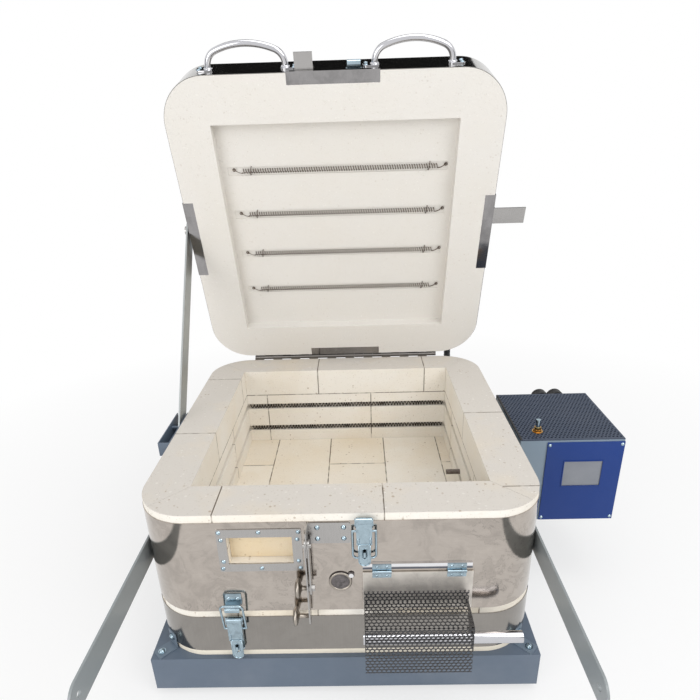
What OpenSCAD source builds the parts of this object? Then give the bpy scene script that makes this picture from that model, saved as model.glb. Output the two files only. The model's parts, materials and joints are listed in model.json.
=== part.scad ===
// Bead annealing kiln: a square top-loading kiln with a brick chamber in rounded
// stainless jackets. The ring lifts off its floor slab on rear hinges, the lid
// opens on a long rear hinge, and a flap for bead rods sits in the front.
// Millimetres, +Z up, the front faces -Y, and Z = 0 is the table.

/* [Kiln body] */
// Width of the brick body, left to right
body_w = 560; // [520:1:640]
// Depth of the brick body, front to back
body_d = 560; // [520:1:640]
// Radius of the upright corners of the body
corner_r = 75; // [50:1:90]
// Thickness of the chamber walls
wall_t = 68; // [60:1:80]
// Height of the chamber ring
ring_h = 165; // [150:1:200]
// Bare brick above the top edge of the ring jacket
rim_lip = 12; // [6:0.5:16]
// Thickness of the stainless jackets
jacket_t = 1; // [0.8:0.1:1.6]
// Gap between parts that rest on each other but can be lifted apart
seat_gap = 0.3; // [0.2:0.1:0.6]

/* [Floor and tray] */
// Height of the feet under the tray
foot_h = 12; // [6:1:20]
// Diameter of the feet
foot_d = 34; // [20:1:40]
// Height of the folded steel tray
tray_h = 60; // [40:1:80]
// How far the tray stands out past the body all round
tray_out = 7; // [5:1:12]
// Thickness of the tray sheet
tray_t = 2; // [1.5:0.5:3]
// Thickness of the insulating board under the floor bricks
board_h = 11; // [8:1:20]
// Thickness of the floor bricks
slab_h = 76; // [60:1:80]
// Bare brick above the top edge of the base jacket
slab_lip = 11; // [6:0.5:16]
// Width of one brick, which sets the joints of floor and walls
brick_w = 114.3; // [100:0.1:130]
// Length of one brick
brick_l = 228.6; // [200:0.1:260]
// Width of the joints between bricks
joint_w = 0.6; // [0.4:0.1:1.2]

/* [Lid] */
// Thickness of the lid
lid_h = 72; // [60:1:90]
// Width of the square recess in the lid
recess_w = 412; // [360:1:424]
// Depth of the recess
recess_h = 20; // [12:1:30]
// Angle at which the lid stands open
lid_open_deg = 72; // [60:1:80]
// Distance of the lid hinge pin behind the body
hinge_out = 8; // [7:0.5:12]
// Height of the lid hinge pin above the rim
hinge_up = 3; // [2:0.5:8]
// Length of the lid hinge
hinge_len = 400; // [300:20:440]
// Length of one knuckle of the lid hinge
knuckle_len = 20; // [15:1:30]
// Radius of the knuckles
knuckle_r = 4.5; // [4:0.1:5.5]
// Radius of the hinge pins
pin_r = 2.5; // [2:0.1:3]
// Radial clearance of a pin that turns
pin_clear = 0.05; // [0.02:0.01:0.1]
// Thickness of hinge leaves and small brackets
leaf_t = 1.5; // [1:0.1:2]
// Distance between the legs of a lid handle
handle_w = 124; // [110:1:135]
// Reach of the lid handles
handle_reach = 36; // [30:1:40]
// Diameter of the bar of a lid handle
handle_d = 10; // [8:0.5:12]

/* [Elements] */
// Outer diameter of the heating coils
coil_d = 9; // [7:0.5:11]
// Diameter of the element wire
wire_d = 1.8; // [1.4:0.1:2.4]
// Turns in each lid coil
lid_turns = 14; // [8:1:15]
// Turns in each wall coil
wall_turns = 14; // [8:1:15]
// Length of a lid coil
lid_coil_len = 345; // [300:1:360]
// Distance between the rows of lid coils
lid_row_pitch = 81; // [70:1:90]
// Depth of the upper wall groove below the rim
groove_1 = 82; // [75:1:90]
// Depth of the lower wall groove below the rim
groove_2 = 134; // [120:1:140]
// Width and depth of a wall groove
groove_w = 12; // [11:0.5:14]

/* [Port and vent] */
// Width of the port window
port_w = 88; // [70:1:95]
// Height of the port window
port_h = 44; // [36:1:48]
// Width of the frame round the window
port_rim = 13; // [10:0.5:15]
// Sideways place of the window centre
port_x = -107.5; // [-120:0.5:-100]
// Depth of the window centre below the rim
port_z = 57.5; // [55:0.5:60]
// How far the plug sits back behind the jacket
plug_back = 12; // [8:1:20]
// Length of the long vent prop, pivot to end
prop_long = 133; // [120:1:140]
// Length of the short vent prop, pivot to end
prop_short = 80; // [70:1:90]
// Width of the vent props
prop_w = 18; // [14:1:20]

/* [Bead door] */
// Width of the bead door
door_w = 151; // [140:1:160]
// Sideways place of the left edge of the bead door
door_x = 30; // [25:1:35]
// Depth of the door hinge pin below the rim
door_hinge_z = 94; // [90:0.5:98]
// Depth of the lower edge of the door below the rim
door_low = 162; // [155:1:164]
// Height of the slot behind the door
slot_h = 38; // [30:1:42]
// Reach of the perforated guard in front of the jacket
guard_out = 50; // [40:1:60]
// Depth of the guard shelf below the rim
guard_z = 150; // [145:1:155]
// Length of the hanging sheet of the guard
guard_drop = 82; // [60:1:90]
// Distance between the holes of the guard
hole_pitch = 9; // [8:0.5:12]
// Diameter of the holes of the guard
hole_d = 6; // [4:0.5:7]
// Diameter of the handle tube
tube_d = 16; // [12:1:20]
// Length of the handle tube past the guard
tube_past = 67; // [55:1:75]

/* [Control box] */
// Width of the control box
box_w = 173; // [160:1:190]
// Depth of the control box
box_d = 180; // [160:1:200]
// Height of the control box
box_h = 161; // [150:1:175]
// Gap between the jacket and the control box
box_gap = 16; // [10:1:25]
// Depth of the top of the control box below the rim
box_drop = 22; // [15:1:30]
// Thickness of the box sheet
box_t = 1.5; // [1:0.1:2]
// Sideways width of the blue faceplate
plate_w = 128; // [110:1:135]

/* [Side arms and stay] */
// Height of the flat side arms
arm_h = 38; // [30:1:45]
// Thickness of the side arms
arm_t = 3; // [2:0.5:4]
// Depth of the top edge of the side arms below the rim
arm_z = 79; // [70:1:90]
// How far the side arms reach in front of the body
arm_reach = 200; // [160:1:220]
// Width of the lid stay
stay_w = 34; // [24:1:36]
// Thickness of the lid stay
stay_t = 3; // [2:0.5:4]

/* [Hidden] */
$fn = 48;
eps = 0.01;
half_w = body_w / 2;
half_d = body_d / 2;
tray_top = foot_h + tray_h;
slab_z = tray_top + board_h;
slab_top = slab_z + slab_h;
ring_z = slab_top + seat_gap;
rim_z = ring_z + ring_h;
lid_z = rim_z + seat_gap;
in_w = half_w - wall_t;
in_d = half_d - wall_t;
front = -half_d - jacket_t;
rear = half_d + jacket_t;
side = half_w + jacket_t;
hinge_y = half_d + hinge_out;
hinge_z = rim_z + hinge_up;
base_hinge_z = slab_top - slab_lip / 2;
box_x = side + box_gap;
box_y = -62;
box_z = rim_z - box_drop - box_h;
channel_out = 20;
channel_h = 24;
channel_y = -84;
channel_len = 110;
stay_x = -side - 6.5;
stay_pivot_y = -12;
stay_pivot_z = 19;
stay_cut_z = rim_z - 7;
stay_line_y = 5.5;
stay_line_z = rim_z - 3;
stay_pin_y = -12;
stay_pin_r = 3;
rivet_r = 3.2;
rivet_h = 1.8;
switch_x = box_x + 36;
switch_y = -32;
conduit_x = 241;
conduit_r = 8;
conduit_back = 105;
x_low = -side - channel_out;
x_high = box_x + box_w;
y_low = -half_d - arm_reach;
y_high = rear + conduit_back + conduit_r;
shift_x = -(x_low + x_high) / 2;
shift_y = -(y_low + y_high) / 2;

// Moves the whole kiln so that the centre of its outline stands over the origin
module place() {
  translate([shift_x, shift_y, 0]) children();
}

// A rectangle with round corners, made of straight strips and true circles
module round_rect(w, d, r) {
  square([w - 2 * r, d], center = true);
  square([w, d - 2 * r], center = true);
  for (sx = [-1, 1], sy = [-1, 1])
    translate([sx * (w / 2 - r), sy * (d / 2 - r)]) circle(r, $fn = 96);
}

module band(z, h, t = jacket_t) {
  translate([0, 0, z]) linear_extrude(h) difference() {
    round_rect(body_w + 2 * t, body_d + 2 * t, corner_r + t);
    round_rect(body_w, body_d, corner_r);
  }
}

// Puts a flat shape on the front jacket: local X is right, local Y is up, local Z is outward
module on_front(x, z, off = 0) {
  translate([x, front - off, z]) rotate([90, 0, 0]) children();
}

module rivet(r = rivet_r, h = rivet_h) {
  big = (r * r + h * h) / (2 * h);
  intersection() {
    translate([0, 0, h - big]) sphere(big, $fn = 32);
    cylinder(r = r, h = h);
  }
}

module round_plate(w, h, t, r) {
  linear_extrude(t) round_rect(w, h, r);
}

// A bar along X between two points of the cross-section plane
module rod_x(x0, x1, y, z, r) {
  translate([x0, y, z]) rotate([0, 90, 0]) cylinder(r = r, h = x1 - x0);
}

// Turns the closed lid to the angle at which it stands open
module lid_open() {
  translate([0, hinge_y, hinge_z]) rotate([-lid_open_deg, 0, 0])
    translate([0, -hinge_y, -hinge_z]) children();
}

// The helix of a heating coil along X: rings of six points carried along the turns
function coil_point(a, turns, len, r) =
  [len * a / (360 * turns) - len / 2, r * cos(a), r * sin(a)];
function coil_dir(a, turns, len, r) =
  let (v = [len / (360 * turns) * 180 / PI, -r * sin(a), r * cos(a)]) v / norm(v);
function coil_ring(a, turns, len, r, wr) =
  let (
    c = coil_point(a, turns, len, r),
    t = coil_dir(a, turns, len, r),
    out = [0, cos(a), sin(a)],
    side_dir = cross(t, out)
  )
  [for (k = [0:5]) c + wr * (cos(60 * k) * out + sin(60 * k) * side_dir)];

module tube_mesh(rings, sides) {
  n = len(rings);
  polyhedron(
    points = [for (ring = rings) for (q = ring) q],
    faces = concat(
      [[for (k = [0:sides - 1]) k]],
      [for (i = [0:n - 2]) for (k = [0:sides - 1])
        [i * sides + k, (i + 1) * sides + k, (i + 1) * sides + (k + 1) % sides]],
      [for (i = [0:n - 2]) for (k = [0:sides - 1])
        [i * sides + k, (i + 1) * sides + (k + 1) % sides, i * sides + (k + 1) % sides]],
      [[for (k = [0:sides - 1]) n * sides - 1 - k]]
    )
  );
}

// One unbroken tube: eight rings to a turn, with a straight wire's width at each end
module coil(turns, len) {
  r = (coil_d - wire_d) / 2;
  last = 360 * turns;
  head = coil_ring(0, turns, len, r, wire_d / 2);
  tail = coil_ring(last, turns, len, r, wire_d / 2);
  rings = concat(
    [[for (q = head) q - wire_d * coil_dir(0, turns, len, r)]],
    [for (i = [0:8 * turns]) coil_ring(i * 45, turns, len, r, wire_d / 2)],
    [[for (q = tail) q + wire_d * coil_dir(last, turns, len, r)]]
  );
  tube_mesh(rings, 6);
}

// Least gap between neighbouring turns, measured on the points of one turn
function coil_gap(turns, len) =
  let (r = (coil_d - wire_d) / 2)
  min([for (i = [0:8]) for (j = [6:12])
    norm(coil_point(i * 45, turns, len, r) - coil_point((i + j) * 45, turns, len, r))]) - wire_d;
echo(lid_coil_gap = coil_gap(lid_turns, lid_coil_len));
echo(wall_coil_gap = coil_gap(wall_turns, 2 * in_w - 20));

// Floor and tray

module base_tray() {
  out_w = body_w + 2 * tray_out;
  out_d = body_d + 2 * tray_out;
  color("slategray") difference() {
    translate([-out_w / 2, -out_d / 2, foot_h]) cube([out_w, out_d, tray_h]);
    translate([-out_w / 2 + tray_t, -out_d / 2 + tray_t, foot_h + tray_t])
      cube([out_w - 2 * tray_t, out_d - 2 * tray_t, tray_h - 2 * tray_t]);
    translate([-out_w / 2 + 32, -out_d / 2 + 32, foot_h - 1])
      cube([out_w - 64, out_d - 64, tray_t + 2]);
  }
}

module tray_feet() {
  color([0.12, 0.12, 0.13])
  for (sx = [-1, 1], sy = [-1, 1])
    translate([sx * (half_w - 24), sy * (half_d - 24), 0]) {
      cylinder(d1 = foot_d - 6, d2 = foot_d, h = foot_h * 0.4);
      translate([0, 0, foot_h * 0.4]) cylinder(d = foot_d, h = foot_h * 0.6);
    }
}

// Where a clip touches the round corner, seen along the diagonal
clip_reach = corner_r + jacket_t;
module at_corner(sx, sy) {
  translate([sx * (half_w - corner_r), sy * (half_d - corner_r), tray_top])
    rotate([0, 0, atan2(sy, sx)]) children();
}

module corner_clips() {
  color("gainsboro")
  for (sx = [-1, 1], sy = [-1, 1]) at_corner(sx, sy) {
    translate([clip_reach, -10, 0]) cube([30, 20, leaf_t]);
    translate([clip_reach, -10, 0]) cube([leaf_t, 20, 26]);
    translate([clip_reach + 21, 0, leaf_t]) clip_bolt();
    translate([clip_reach + leaf_t, 0, 17]) rotate([0, 90, 0]) clip_bolt();
  }
}

// A washer and a round bolt head
module clip_bolt() {
  cylinder(r = 5.5, h = 1);
  translate([0, 0, 1]) rivet(4.2, 3);
}

module base_board() {
  color("wheat")
  translate([0, 0, tray_top]) linear_extrude(board_h)
    round_rect(body_w - 2, body_d - 2, corner_r - 1);
}

// Columns of bricks one brick wide, with the joints staggered from column to column
module floor_bricks() {
  first = -149.5;
  deep = 4;
  color([0.93, 0.87, 0.74]) difference() {
    translate([0, 0, slab_z]) linear_extrude(slab_h) round_rect(body_w, body_d, corner_r);
    for (col = [0:3])
      translate([first + col * brick_w, -half_d - 1, slab_top - deep]) cube([joint_w, body_d + 2, deep + 1]);
    for (col = [-1:3], row = [-1:1])
      translate([
        col < 0 ? -half_w - 1 : first + col * brick_w,
        107 - (col % 2 == 0 ? brick_w : 0) + row * brick_l,
        slab_top - deep
      ])
        cube([col < 0 || col > 2 ? half_w + 1 + first : brick_w, joint_w, deep + 1]);
  }
}

module base_jacket() {
  color("silver") band(slab_z, slab_h - slab_lip);
}

// Rear hinges

// Knuckles from x0, one every step, chosen by first and every second one after it
module knuckles(x0, count, len, first, y, z, bore) {
  for (i = [first:2:count - 1])
    difference() {
      rod_x(x0 + i * len, x0 + (i + 1) * len - 0.3, y, z, knuckle_r);
      if (bore > 0)
        rod_x(x0 + i * len - 1, x0 + (i + 1) * len + 1, y, z, bore);
    }
}

// A leaf lies on the rear face and reaches each of its knuckles with a tongue.
// up is 1 where the leaf goes up from the pin and -1 where it goes down.
module rear_leaf(x0, count, len, first, z, up, height, bore) {
  total = count * len - 0.3;
  start = knuckle_r + 1;
  translate([x0, rear, up > 0 ? z + start : z - start - height]) cube([total, leaf_t, height]);
  for (i = [first:2:count - 1])
    difference() {
      translate([x0 + i * len, rear, up > 0 ? z : z - start - 1])
        cube([len - 0.3, leaf_t, start + 1]);
      if (bore > 0)
        rod_x(x0 + i * len - 1, x0 + (i + 1) * len + 1, hinge_y, z, bore);
    }
  for (i = [first:2:count - 1])
    difference() {
      translate([x0 + i * len, rear, up > 0 ? z + knuckle_r - leaf_t : z - knuckle_r])
        cube([len - 0.3, hinge_y - rear, leaf_t]);
      if (bore > 0)
        rod_x(x0 + i * len - 1, x0 + (i + 1) * len + 1, hinge_y, z, bore);
    }
  knuckles(x0, count, len, first, hinge_y, z, bore);
}

hinge_count = floor(hinge_len / knuckle_len);
base_knuckle = 22;
base_hinge_x = [-200, 112];

module base_hinge_leaves() {
  color("silver")
  for (x = base_hinge_x) {
    rear_leaf(x, 4, base_knuckle, 0, base_hinge_z, -1, 34, 0);
    rod_x(x, x + 4 * base_knuckle - 0.3, hinge_y, base_hinge_z, pin_r);
  }
}

module ring_base_leaves() {
  color("silver")
  for (x = base_hinge_x)
    rear_leaf(x, 4, base_knuckle, 1, base_hinge_z, 1, 34, pin_r + pin_clear);
}

module ring_hinge_leaf() {
  color("silver") {
    rear_leaf(-hinge_len / 2, hinge_count, knuckle_len, 0, hinge_z, -1, 24, 0);
    rod_x(-hinge_len / 2, -hinge_len / 2 + hinge_count * knuckle_len - 0.3, hinge_y, hinge_z, pin_r);
  }
}

module lid_hinge_leaf() {
  color("silver") lid_open()
    rear_leaf(-hinge_len / 2, hinge_count, knuckle_len, 1, hinge_z, 1, 24, pin_r + pin_clear);
}

// Draw latches: local origin on the jacket behind the lever pin, local Z outward, local Y up

latch_off = 7;
latch_w = 20.8;
latch_pin_r = 1.5;
bail_drop = 17;
bail_off = 6;
bail_wire = 1.6;
bail_half = 15.6;
bail_bend = 6;
plate_half = 8.5;
lever_low = 62.5;
top_bail_len = 44;
low_bail_len = 50;
low_bail_tilt = 9.7;
roll_r = 5;
roll_off = 7.5;
top_latch_x = 33;
top_latch_z = rim_z - 7;
low_latch_x = -154;
low_latch_z = rim_z - 174.5;
roll_z = rim_z - 154.4;
lid_roll_z = lid_z + 13;

module latch_rod(x0, x1, r) {
  translate([x0, 0, latch_off]) rotate([0, 90, 0]) cylinder(r = r, h = x1 - x0);
}

// Base plate with a round end, arms that carry the lever pin and a staple for a padlock
module latch_base(plate_top) {
  low = lever_low - 4.5;
  translate([-plate_half, -low, 0]) cube([2 * plate_half, low - plate_top, leaf_t]);
  translate([0, -low, 0]) cylinder(r = plate_half, h = leaf_t);
  for (s = [-1, 1])
    translate([s * 11.6 - 0.6, 0, 0]) rotate([0, 90, 0]) linear_extrude(1.2)
      polygon([[0, -plate_top - 10], [0, -plate_top], [-latch_off, 4.2], [-latch_off - 4, 0],
        [-latch_off - 3, -6], [-leaf_t, -plate_top - 10]]);
  translate([-12.2, -plate_top - 10, 0]) cube([24.4, 10, leaf_t]);
  latch_rod(-12.2, 12.2, latch_pin_r);
  translate([-1.5, -54, leaf_t]) difference() {
    cube([3, 8, 12.5]);
    translate([-1, 4, 8.5]) rotate([0, 90, 0]) cylinder(r = 2.2, h = 5);
  }
}

module latch_lever() {
  difference() {
    union() {
      latch_rod(-latch_w / 2, latch_w / 2, 4.6);
      translate([-latch_w / 2, -36, latch_off + 2.6]) cube([latch_w, 36, 1.4]);
      for (s = [-1, 1])
        translate([s > 0 ? latch_w / 2 - 1.3 : -latch_w / 2, -36, latch_off - 3.6])
          cube([1.3, 35, 7]);
      translate([-plate_half, -lever_low, latch_off + 2.6]) cube([2 * plate_half, lever_low - 34, 1.4]);
      translate([0, -lever_low, latch_off + 2.6]) cylinder(r = plate_half, h = 1.4);
    }
    latch_rod(-30, 30, latch_pin_r + pin_clear);
    translate([-30, -bail_drop, bail_off]) rotate([0, 90, 0])
      cylinder(r = bail_wire + pin_clear, h = 60);
    translate([-2.6, -59, 0]) cube([5.2, 17, 20]);
  }
}

// A wire loop from its two stubs to its cross bar; turn swings it about the stubs
module latch_bail(len, turn) {
  b = bail_bend;
  translate([0, -bail_drop, bail_off]) rotate([turn, 0, 0]) {
    for (s = [-1, 1]) {
      translate([s > 0 ? 9.4 : -bail_half, 0, 0]) rotate([0, 90, 0])
        cylinder(r = bail_wire, h = bail_half - 9.4);
      translate([s * bail_half, 0, 0]) sphere(bail_wire);
      translate([s * bail_half, 0, 0]) rotate([-90, 0, 0]) cylinder(r = bail_wire, h = len - b);
      translate([s * (bail_half - b), len - b, 0]) rotate([0, 0, s > 0 ? 0 : 90])
        rotate_extrude(angle = 90) translate([b, 0]) circle(bail_wire);
    }
    translate([-bail_half + b, len, 0]) rotate([0, 90, 0])
      cylinder(r = bail_wire, h = 2 * (bail_half - b));
  }
}

// The hook plate that a bail pulls on: a riveted plate with a rolled lower edge
module latch_hook(x, z, height) {
  on_front(x, z) {
    translate([-12.5, 4, 0]) cube([25, height - 4, 1.2]);
    translate([-10.5, 0, 0]) cube([21, 5, roll_off]);
    translate([-10.5, 0, roll_off]) rotate([0, 90, 0]) cylinder(r = roll_r, h = 21);
    for (s = [-1, 1]) translate([s * 6.5, height - 9, 1.2]) rivet();
  }
}

module top_latch_base() {
  color("lightsteelblue") on_front(top_latch_x, top_latch_z) latch_base(6);
}

module lower_latch_base() {
  color("lightsteelblue") on_front(low_latch_x, low_latch_z) latch_base(2.5);
}

module top_lever() {
  color("lightsteelblue") on_front(top_latch_x, top_latch_z) latch_lever();
}

module low_lever() {
  color("lightsteelblue") on_front(low_latch_x, low_latch_z) latch_lever();
}

module top_bail() {
  color("lightsteelblue") on_front(top_latch_x, top_latch_z) latch_bail(top_bail_len, 180);
}

module low_bail() {
  color("lightsteelblue") on_front(low_latch_x, low_latch_z) latch_bail(low_bail_len, low_bail_tilt);
}

module lower_keeper() {
  color("lightsteelblue") latch_hook(low_latch_x, roll_z, 22);
}

// Chamber ring

module ring_jacket() {
  color("silver") difference() {
    band(ring_z, ring_h - rim_lip);
    translate([port_x - port_w / 2 - 1, front - 1, rim_z - port_z - port_h / 2 - 1])
      cube([port_w + 2, 4, port_h + 2]);
    translate([door_x + 10, front - 1, slot_z]) cube([door_w - 20, 4, slot_h]);
    translate([peep_x, front + 3, peep_z]) rotate([90, 0, 0]) cylinder(r = peep_hole_r, h = 6);
  }
}

slot_z = rim_z - door_low + 8;
peep_x = -1;
peep_z = rim_z - 112.6;
peep_hole_r = 10;
peep_r = 16;
peep_pin_x = 14;
peep_pin_z = rim_z - 101;

// A wall between two mitred corners, cut from the rounded ring; turn says which side it is
module wall_blank(turn) {
  span = turn % 180 == 0 ? half_d : half_w;
  across = turn % 180 == 0 ? half_w : half_d;
  g = joint_w / 2;
  intersection() {
    translate([0, 0, ring_z]) linear_extrude(ring_h) difference() {
      round_rect(body_w, body_d, corner_r);
      square([2 * in_w, 2 * in_d], center = true);
    }
    rotate([0, 0, turn]) translate([0, 0, ring_z - 1]) linear_extrude(ring_h + 2)
      polygon([[-across - 1 + g, -span - 1], [across + 1 - g, -span - 1],
        [across - wall_t - g, -span + wall_t + eps], [-across + wall_t + g, -span + wall_t + eps]]);
  }
}

// Scored joints between the bricks of one wall: the courses meet at course_z
course_z = rim_z - 55;
module wall_joints(turn, top, low) {
  inner = turn % 180 == 0 ? in_d : in_w;
  deep = 4;
  rotate([0, 0, turn]) {
    translate([-400, -inner - deep, course_z]) cube([800, deep + 1, joint_w]);
    for (x = top) {
      translate([x, -inner - deep, course_z]) cube([joint_w, deep + 1, 100]);
      translate([x, -inner - wall_t - 1, rim_z - deep]) cube([joint_w, wall_t + 2, deep + 1]);
    }
    for (x = low) translate([x, -inner - deep, ring_z - 1]) cube([joint_w, deep + 1, course_z - ring_z + 1]);
  }
}

module grooves(turn) {
  span = turn % 180 == 0 ? in_d : in_w;
  rotate([0, 0, turn]) for (g = [groove_1, groove_2])
    translate([-400, -span - groove_w, rim_z - g - groove_w / 2]) cube([800, groove_w + 1, groove_w]);
}

brick_color = [0.95, 0.91, 0.81];

module wall_front() {
  color(brick_color) difference() {
    wall_blank(0);
    wall_joints(0, [-167, 60], [-60, 200]);
    translate([port_x - port_w / 2, -half_d - 1, rim_z - port_z - port_h / 2])
      cube([port_w, wall_t + 2, port_h]);
    translate([door_x + 10, -half_d - 1, slot_z]) cube([door_w - 20, wall_t + 2, slot_h]);
    translate([peep_x, -half_d + wall_t + 1, peep_z]) rotate([90, 0, 0])
      cylinder(r = peep_hole_r, h = wall_t + 2);
  }
}

module wall_back() {
  color(brick_color) difference() {
    wall_blank(180);
    wall_joints(180, [57.7, -166.8], [-53.7, 168.8]);
    grooves(180);
  }
}

module wall_left() {
  color(brick_color) difference() {
    wall_blank(270);
    wall_joints(270, [-174, 55], [-60, 150]);
    grooves(270);
  }
}

module wall_right() {
  color(brick_color) difference() {
    wall_blank(90);
    wall_joints(90, [0.5, -226], [-110, 118]);
    grooves(90);
    translate([in_w - 10, thermo_y, thermo_z]) rotate([0, 90, 0]) cylinder(r = thermo_r, h = 100);
  }
}

thermo_y = 6;
thermo_z = rim_z - 124;
thermo_r = 4.5;
thermo_in = 25;

module thermocouple() {
  color([0.45, 0.42, 0.4])
  translate([in_w - thermo_in, thermo_y, thermo_z]) rotate([0, 90, 0])
    cylinder(r = thermo_r, h = thermo_in + wall_t);
}

module wall_elements() {
  color([0.25, 0.2, 0.18])
  for (g = [groove_1, groove_2])
    translate([0, in_d + groove_w / 2, rim_z - g - (groove_w - coil_d) / 2 + 0.05])
      coil(wall_turns, 2 * in_w - 6);
}

module port_frame() {
  color("silver") on_front(port_x, rim_z - port_z) difference() {
    round_plate(port_w + 2 * port_rim, port_h + 2 * port_rim, 1.2, 2);
    translate([-port_w / 2, -port_h / 2, -1]) cube([port_w, port_h, 4]);
  }
}

module port_plug() {
  color([0.94, 0.86, 0.68])
  translate([port_x - port_w / 2 + 0.4, -half_d + plug_back, rim_z - port_z - port_h / 2 + 0.4])
    cube([port_w - 0.8, wall_t - plug_back, port_h - 0.8]);
}

bracket_x = -14;
bracket_z = rim_z - 30;
bracket_w = 58;
bracket_h = 33;
prop_y = front - 14.5;
prop_z = rim_z - 40;
flange_x = bracket_x - bracket_w / 2;

module ring_fasteners() {
  color("gainsboro") {
    for (p = [[-55, 30], [0, 30], [55, 30], [-53, 18], [53, 18], [-53, -18], [53, -18],
        [-55, -30], [0, -30], [55, -30]])
      on_front(port_x + p[0] * (port_w / 2 + port_rim) / 59, rim_z - port_z + p[1], 1.2) rivet();
    for (sx = [-15, 20], sz = [-9, 9]) on_front(bracket_x + sx, bracket_z + sz, 1.5) rivet(3.6, 2.4);
    for (s = [-1, 1], y = [-half_d + 60, 0, half_d - 100])
      translate([s * (side + arm_t), y, rim_z - arm_z - arm_h / 2]) rotate([0, s * 90, 0]) rivet(6.5, 4);
  }
}

module side_arms() {
  color("silver")
  for (s = [-1, 1])
    translate([s > 0 ? side : -side - arm_t, 0, rim_z - arm_z - arm_h / 2]) rotate([90, 0, 90])
      linear_extrude(arm_t) difference() {
        union() {
          translate([y_low + arm_h / 2, -arm_h / 2]) square([arm_reach + 2 * half_d - 80 - arm_h / 2, arm_h]);
          translate([y_low + arm_h / 2, 0]) circle(arm_h / 2);
        }
        translate([y_low + arm_h / 2, 0]) circle(arm_hole_r);
      }
}
arm_hole_r = 4.25;

module stay_channel() {
  x0 = -side - channel_out;
  z0 = rim_z - 1 - channel_h;
  color("slategray") {
    difference() {
      translate([x0, channel_y, z0]) cube([channel_out, channel_len, channel_h]);
      translate([x0 + leaf_t, channel_y + leaf_t, z0 + leaf_t])
        cube([channel_out - 2 * leaf_t, channel_len, channel_h]);
    }
    rod_x(x0, x0 + channel_out, stay_pin_y, stay_cut_z - 0.4 - stay_pin_r, stay_pin_r);
  }
}

module vent_bracket() {
  color([0.75, 0.76, 0.77]) {
    on_front(bracket_x, bracket_z) round_plate(bracket_w, bracket_h, 1.5, 3);
    translate([flange_x, front - 24, bracket_z - 22]) cube([1.5, 24, bracket_h / 2 + 22]);
    rod_x(flange_x - 5, flange_x + 6, prop_y, prop_z, 2.9);
  }
}

prop_x1 = flange_x - 2.4;
prop_x2 = flange_x + 1.9;
knob_r = 13.5;

// A mushroom knob that points left from x, on a stem
module prop_knob(x, y, z, stem) {
  translate([x, y, z]) rotate([0, -90, 0]) {
    cylinder(r = 3.2, h = stem);
    translate([0, 0, stem]) cylinder(r1 = 7, r2 = knob_r, h = 3.5);
    translate([0, 0, stem + 3.5]) rivet(knob_r, 4.5);
  }
}

module prop_arm(x, length) {
  difference() {
    union() {
      translate([x, prop_y - prop_w / 2, prop_z - length + prop_w / 2])
        cube([2, prop_w, length - prop_w / 2]);
      rod_x(x, x + 2, prop_y, prop_z, prop_w / 2);
      rod_x(x, x + 2, prop_y, prop_z - length + prop_w / 2, prop_w / 2);
    }
    rod_x(x - 1, x + 3, prop_y, prop_z, 2.9 + pin_clear);
  }
}

// The long and the short arm straddle the bracket and are held together by a spacer
module vent_prop() {
  z = prop_z - prop_short + prop_w / 2;
  color("gainsboro") {
    prop_arm(prop_x1, prop_long);
    prop_arm(prop_x2, prop_short);
    rod_x(prop_x1 + 1, prop_x2 + 1, prop_y, z, 5);
    translate([prop_x2 + 2, prop_y, z]) rotate([0, 90, 0]) cylinder(r = 4.5, h = 4, $fn = 6);
  }
}

module prop_knobs() {
  color([0.62, 0.6, 0.57]) {
    prop_knob(prop_x1, prop_y, prop_z - prop_short + prop_w / 2, 9);
    prop_knob(prop_x1, prop_y, prop_z - prop_long + 12, 15);
  }
}

module peep_cover() {
  color([0.4, 0.4, 0.42]) on_front(0, 0, 0.5) difference() {
    union() {
      translate([peep_x, peep_z]) cylinder(r = peep_r, h = 1.5);
      translate([peep_pin_x, peep_pin_z]) cylinder(r = 4.5, h = 1.5);
    }
    translate([peep_pin_x, peep_pin_z, -1]) cylinder(r = 1.8 + pin_clear, h = 4);
  }
}

// Bead door

door_pin_y = front - 5.4;
door_pin_z = rim_z - door_hinge_z;
door_knuckle_r = 2.2;
door_pin_r = 1.2;
door_hinges = [door_x + 13, door_x + 115];
door_leaf_w = 26;
door_face = front - 0.5 - 1.6;

module door_header() {
  color("silver") {
    translate([door_x, front - 2.4, door_pin_z + 2.7]) cube([door_w - 2, 2.4, 9]);
    on_front(peep_pin_x, peep_pin_z) cylinder(r = 1.8, h = 2.6);
    on_front(peep_pin_x, peep_pin_z, 2.3) cylinder(r = 3.4, h = 1.4);
  }
}

module door_hinge_upper() {
  color("lightsteelblue")
  for (x = door_hinges) {
    translate([x, front - 3.6, door_pin_z + 2.7]) cube([door_leaf_w, 1.2, 8.5]);
    for (dx = [0, door_leaf_w - 7]) {
      translate([x + dx, front - 3.6, door_pin_z]) cube([7, 1.2, 3]);
      rod_x(x + dx, x + dx + 7, door_pin_y, door_pin_z, door_knuckle_r);
    }
    rod_x(x, x + door_leaf_w, door_pin_y, door_pin_z, door_pin_r);
    for (dx = [6, door_leaf_w - 6]) on_front(x + dx, door_pin_z + 7.5, 3.6) rivet(2, 1.2);
  }
}

module door_hinge_lower() {
  color("lightsteelblue")
  for (x = door_hinges) {
    translate([x, door_face - 1.5, door_pin_z - 11]) cube([door_leaf_w, 1.5, 8.3]);
    difference() {
      union() {
        translate([x + 7.3, door_face - 1.5, door_pin_z - 3]) cube([door_leaf_w - 14.6, 1.5, 3]);
        rod_x(x + 7.3, x + door_leaf_w - 7.3, door_pin_y, door_pin_z, door_knuckle_r);
      }
      rod_x(x - 1, x + door_leaf_w + 1, door_pin_y, door_pin_z, door_pin_r + pin_clear);
    }
    for (dx = [6, door_leaf_w - 6]) on_front(x + dx, door_pin_z - 7.5, 3.6) rivet(2, 1.2);
  }
}

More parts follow.
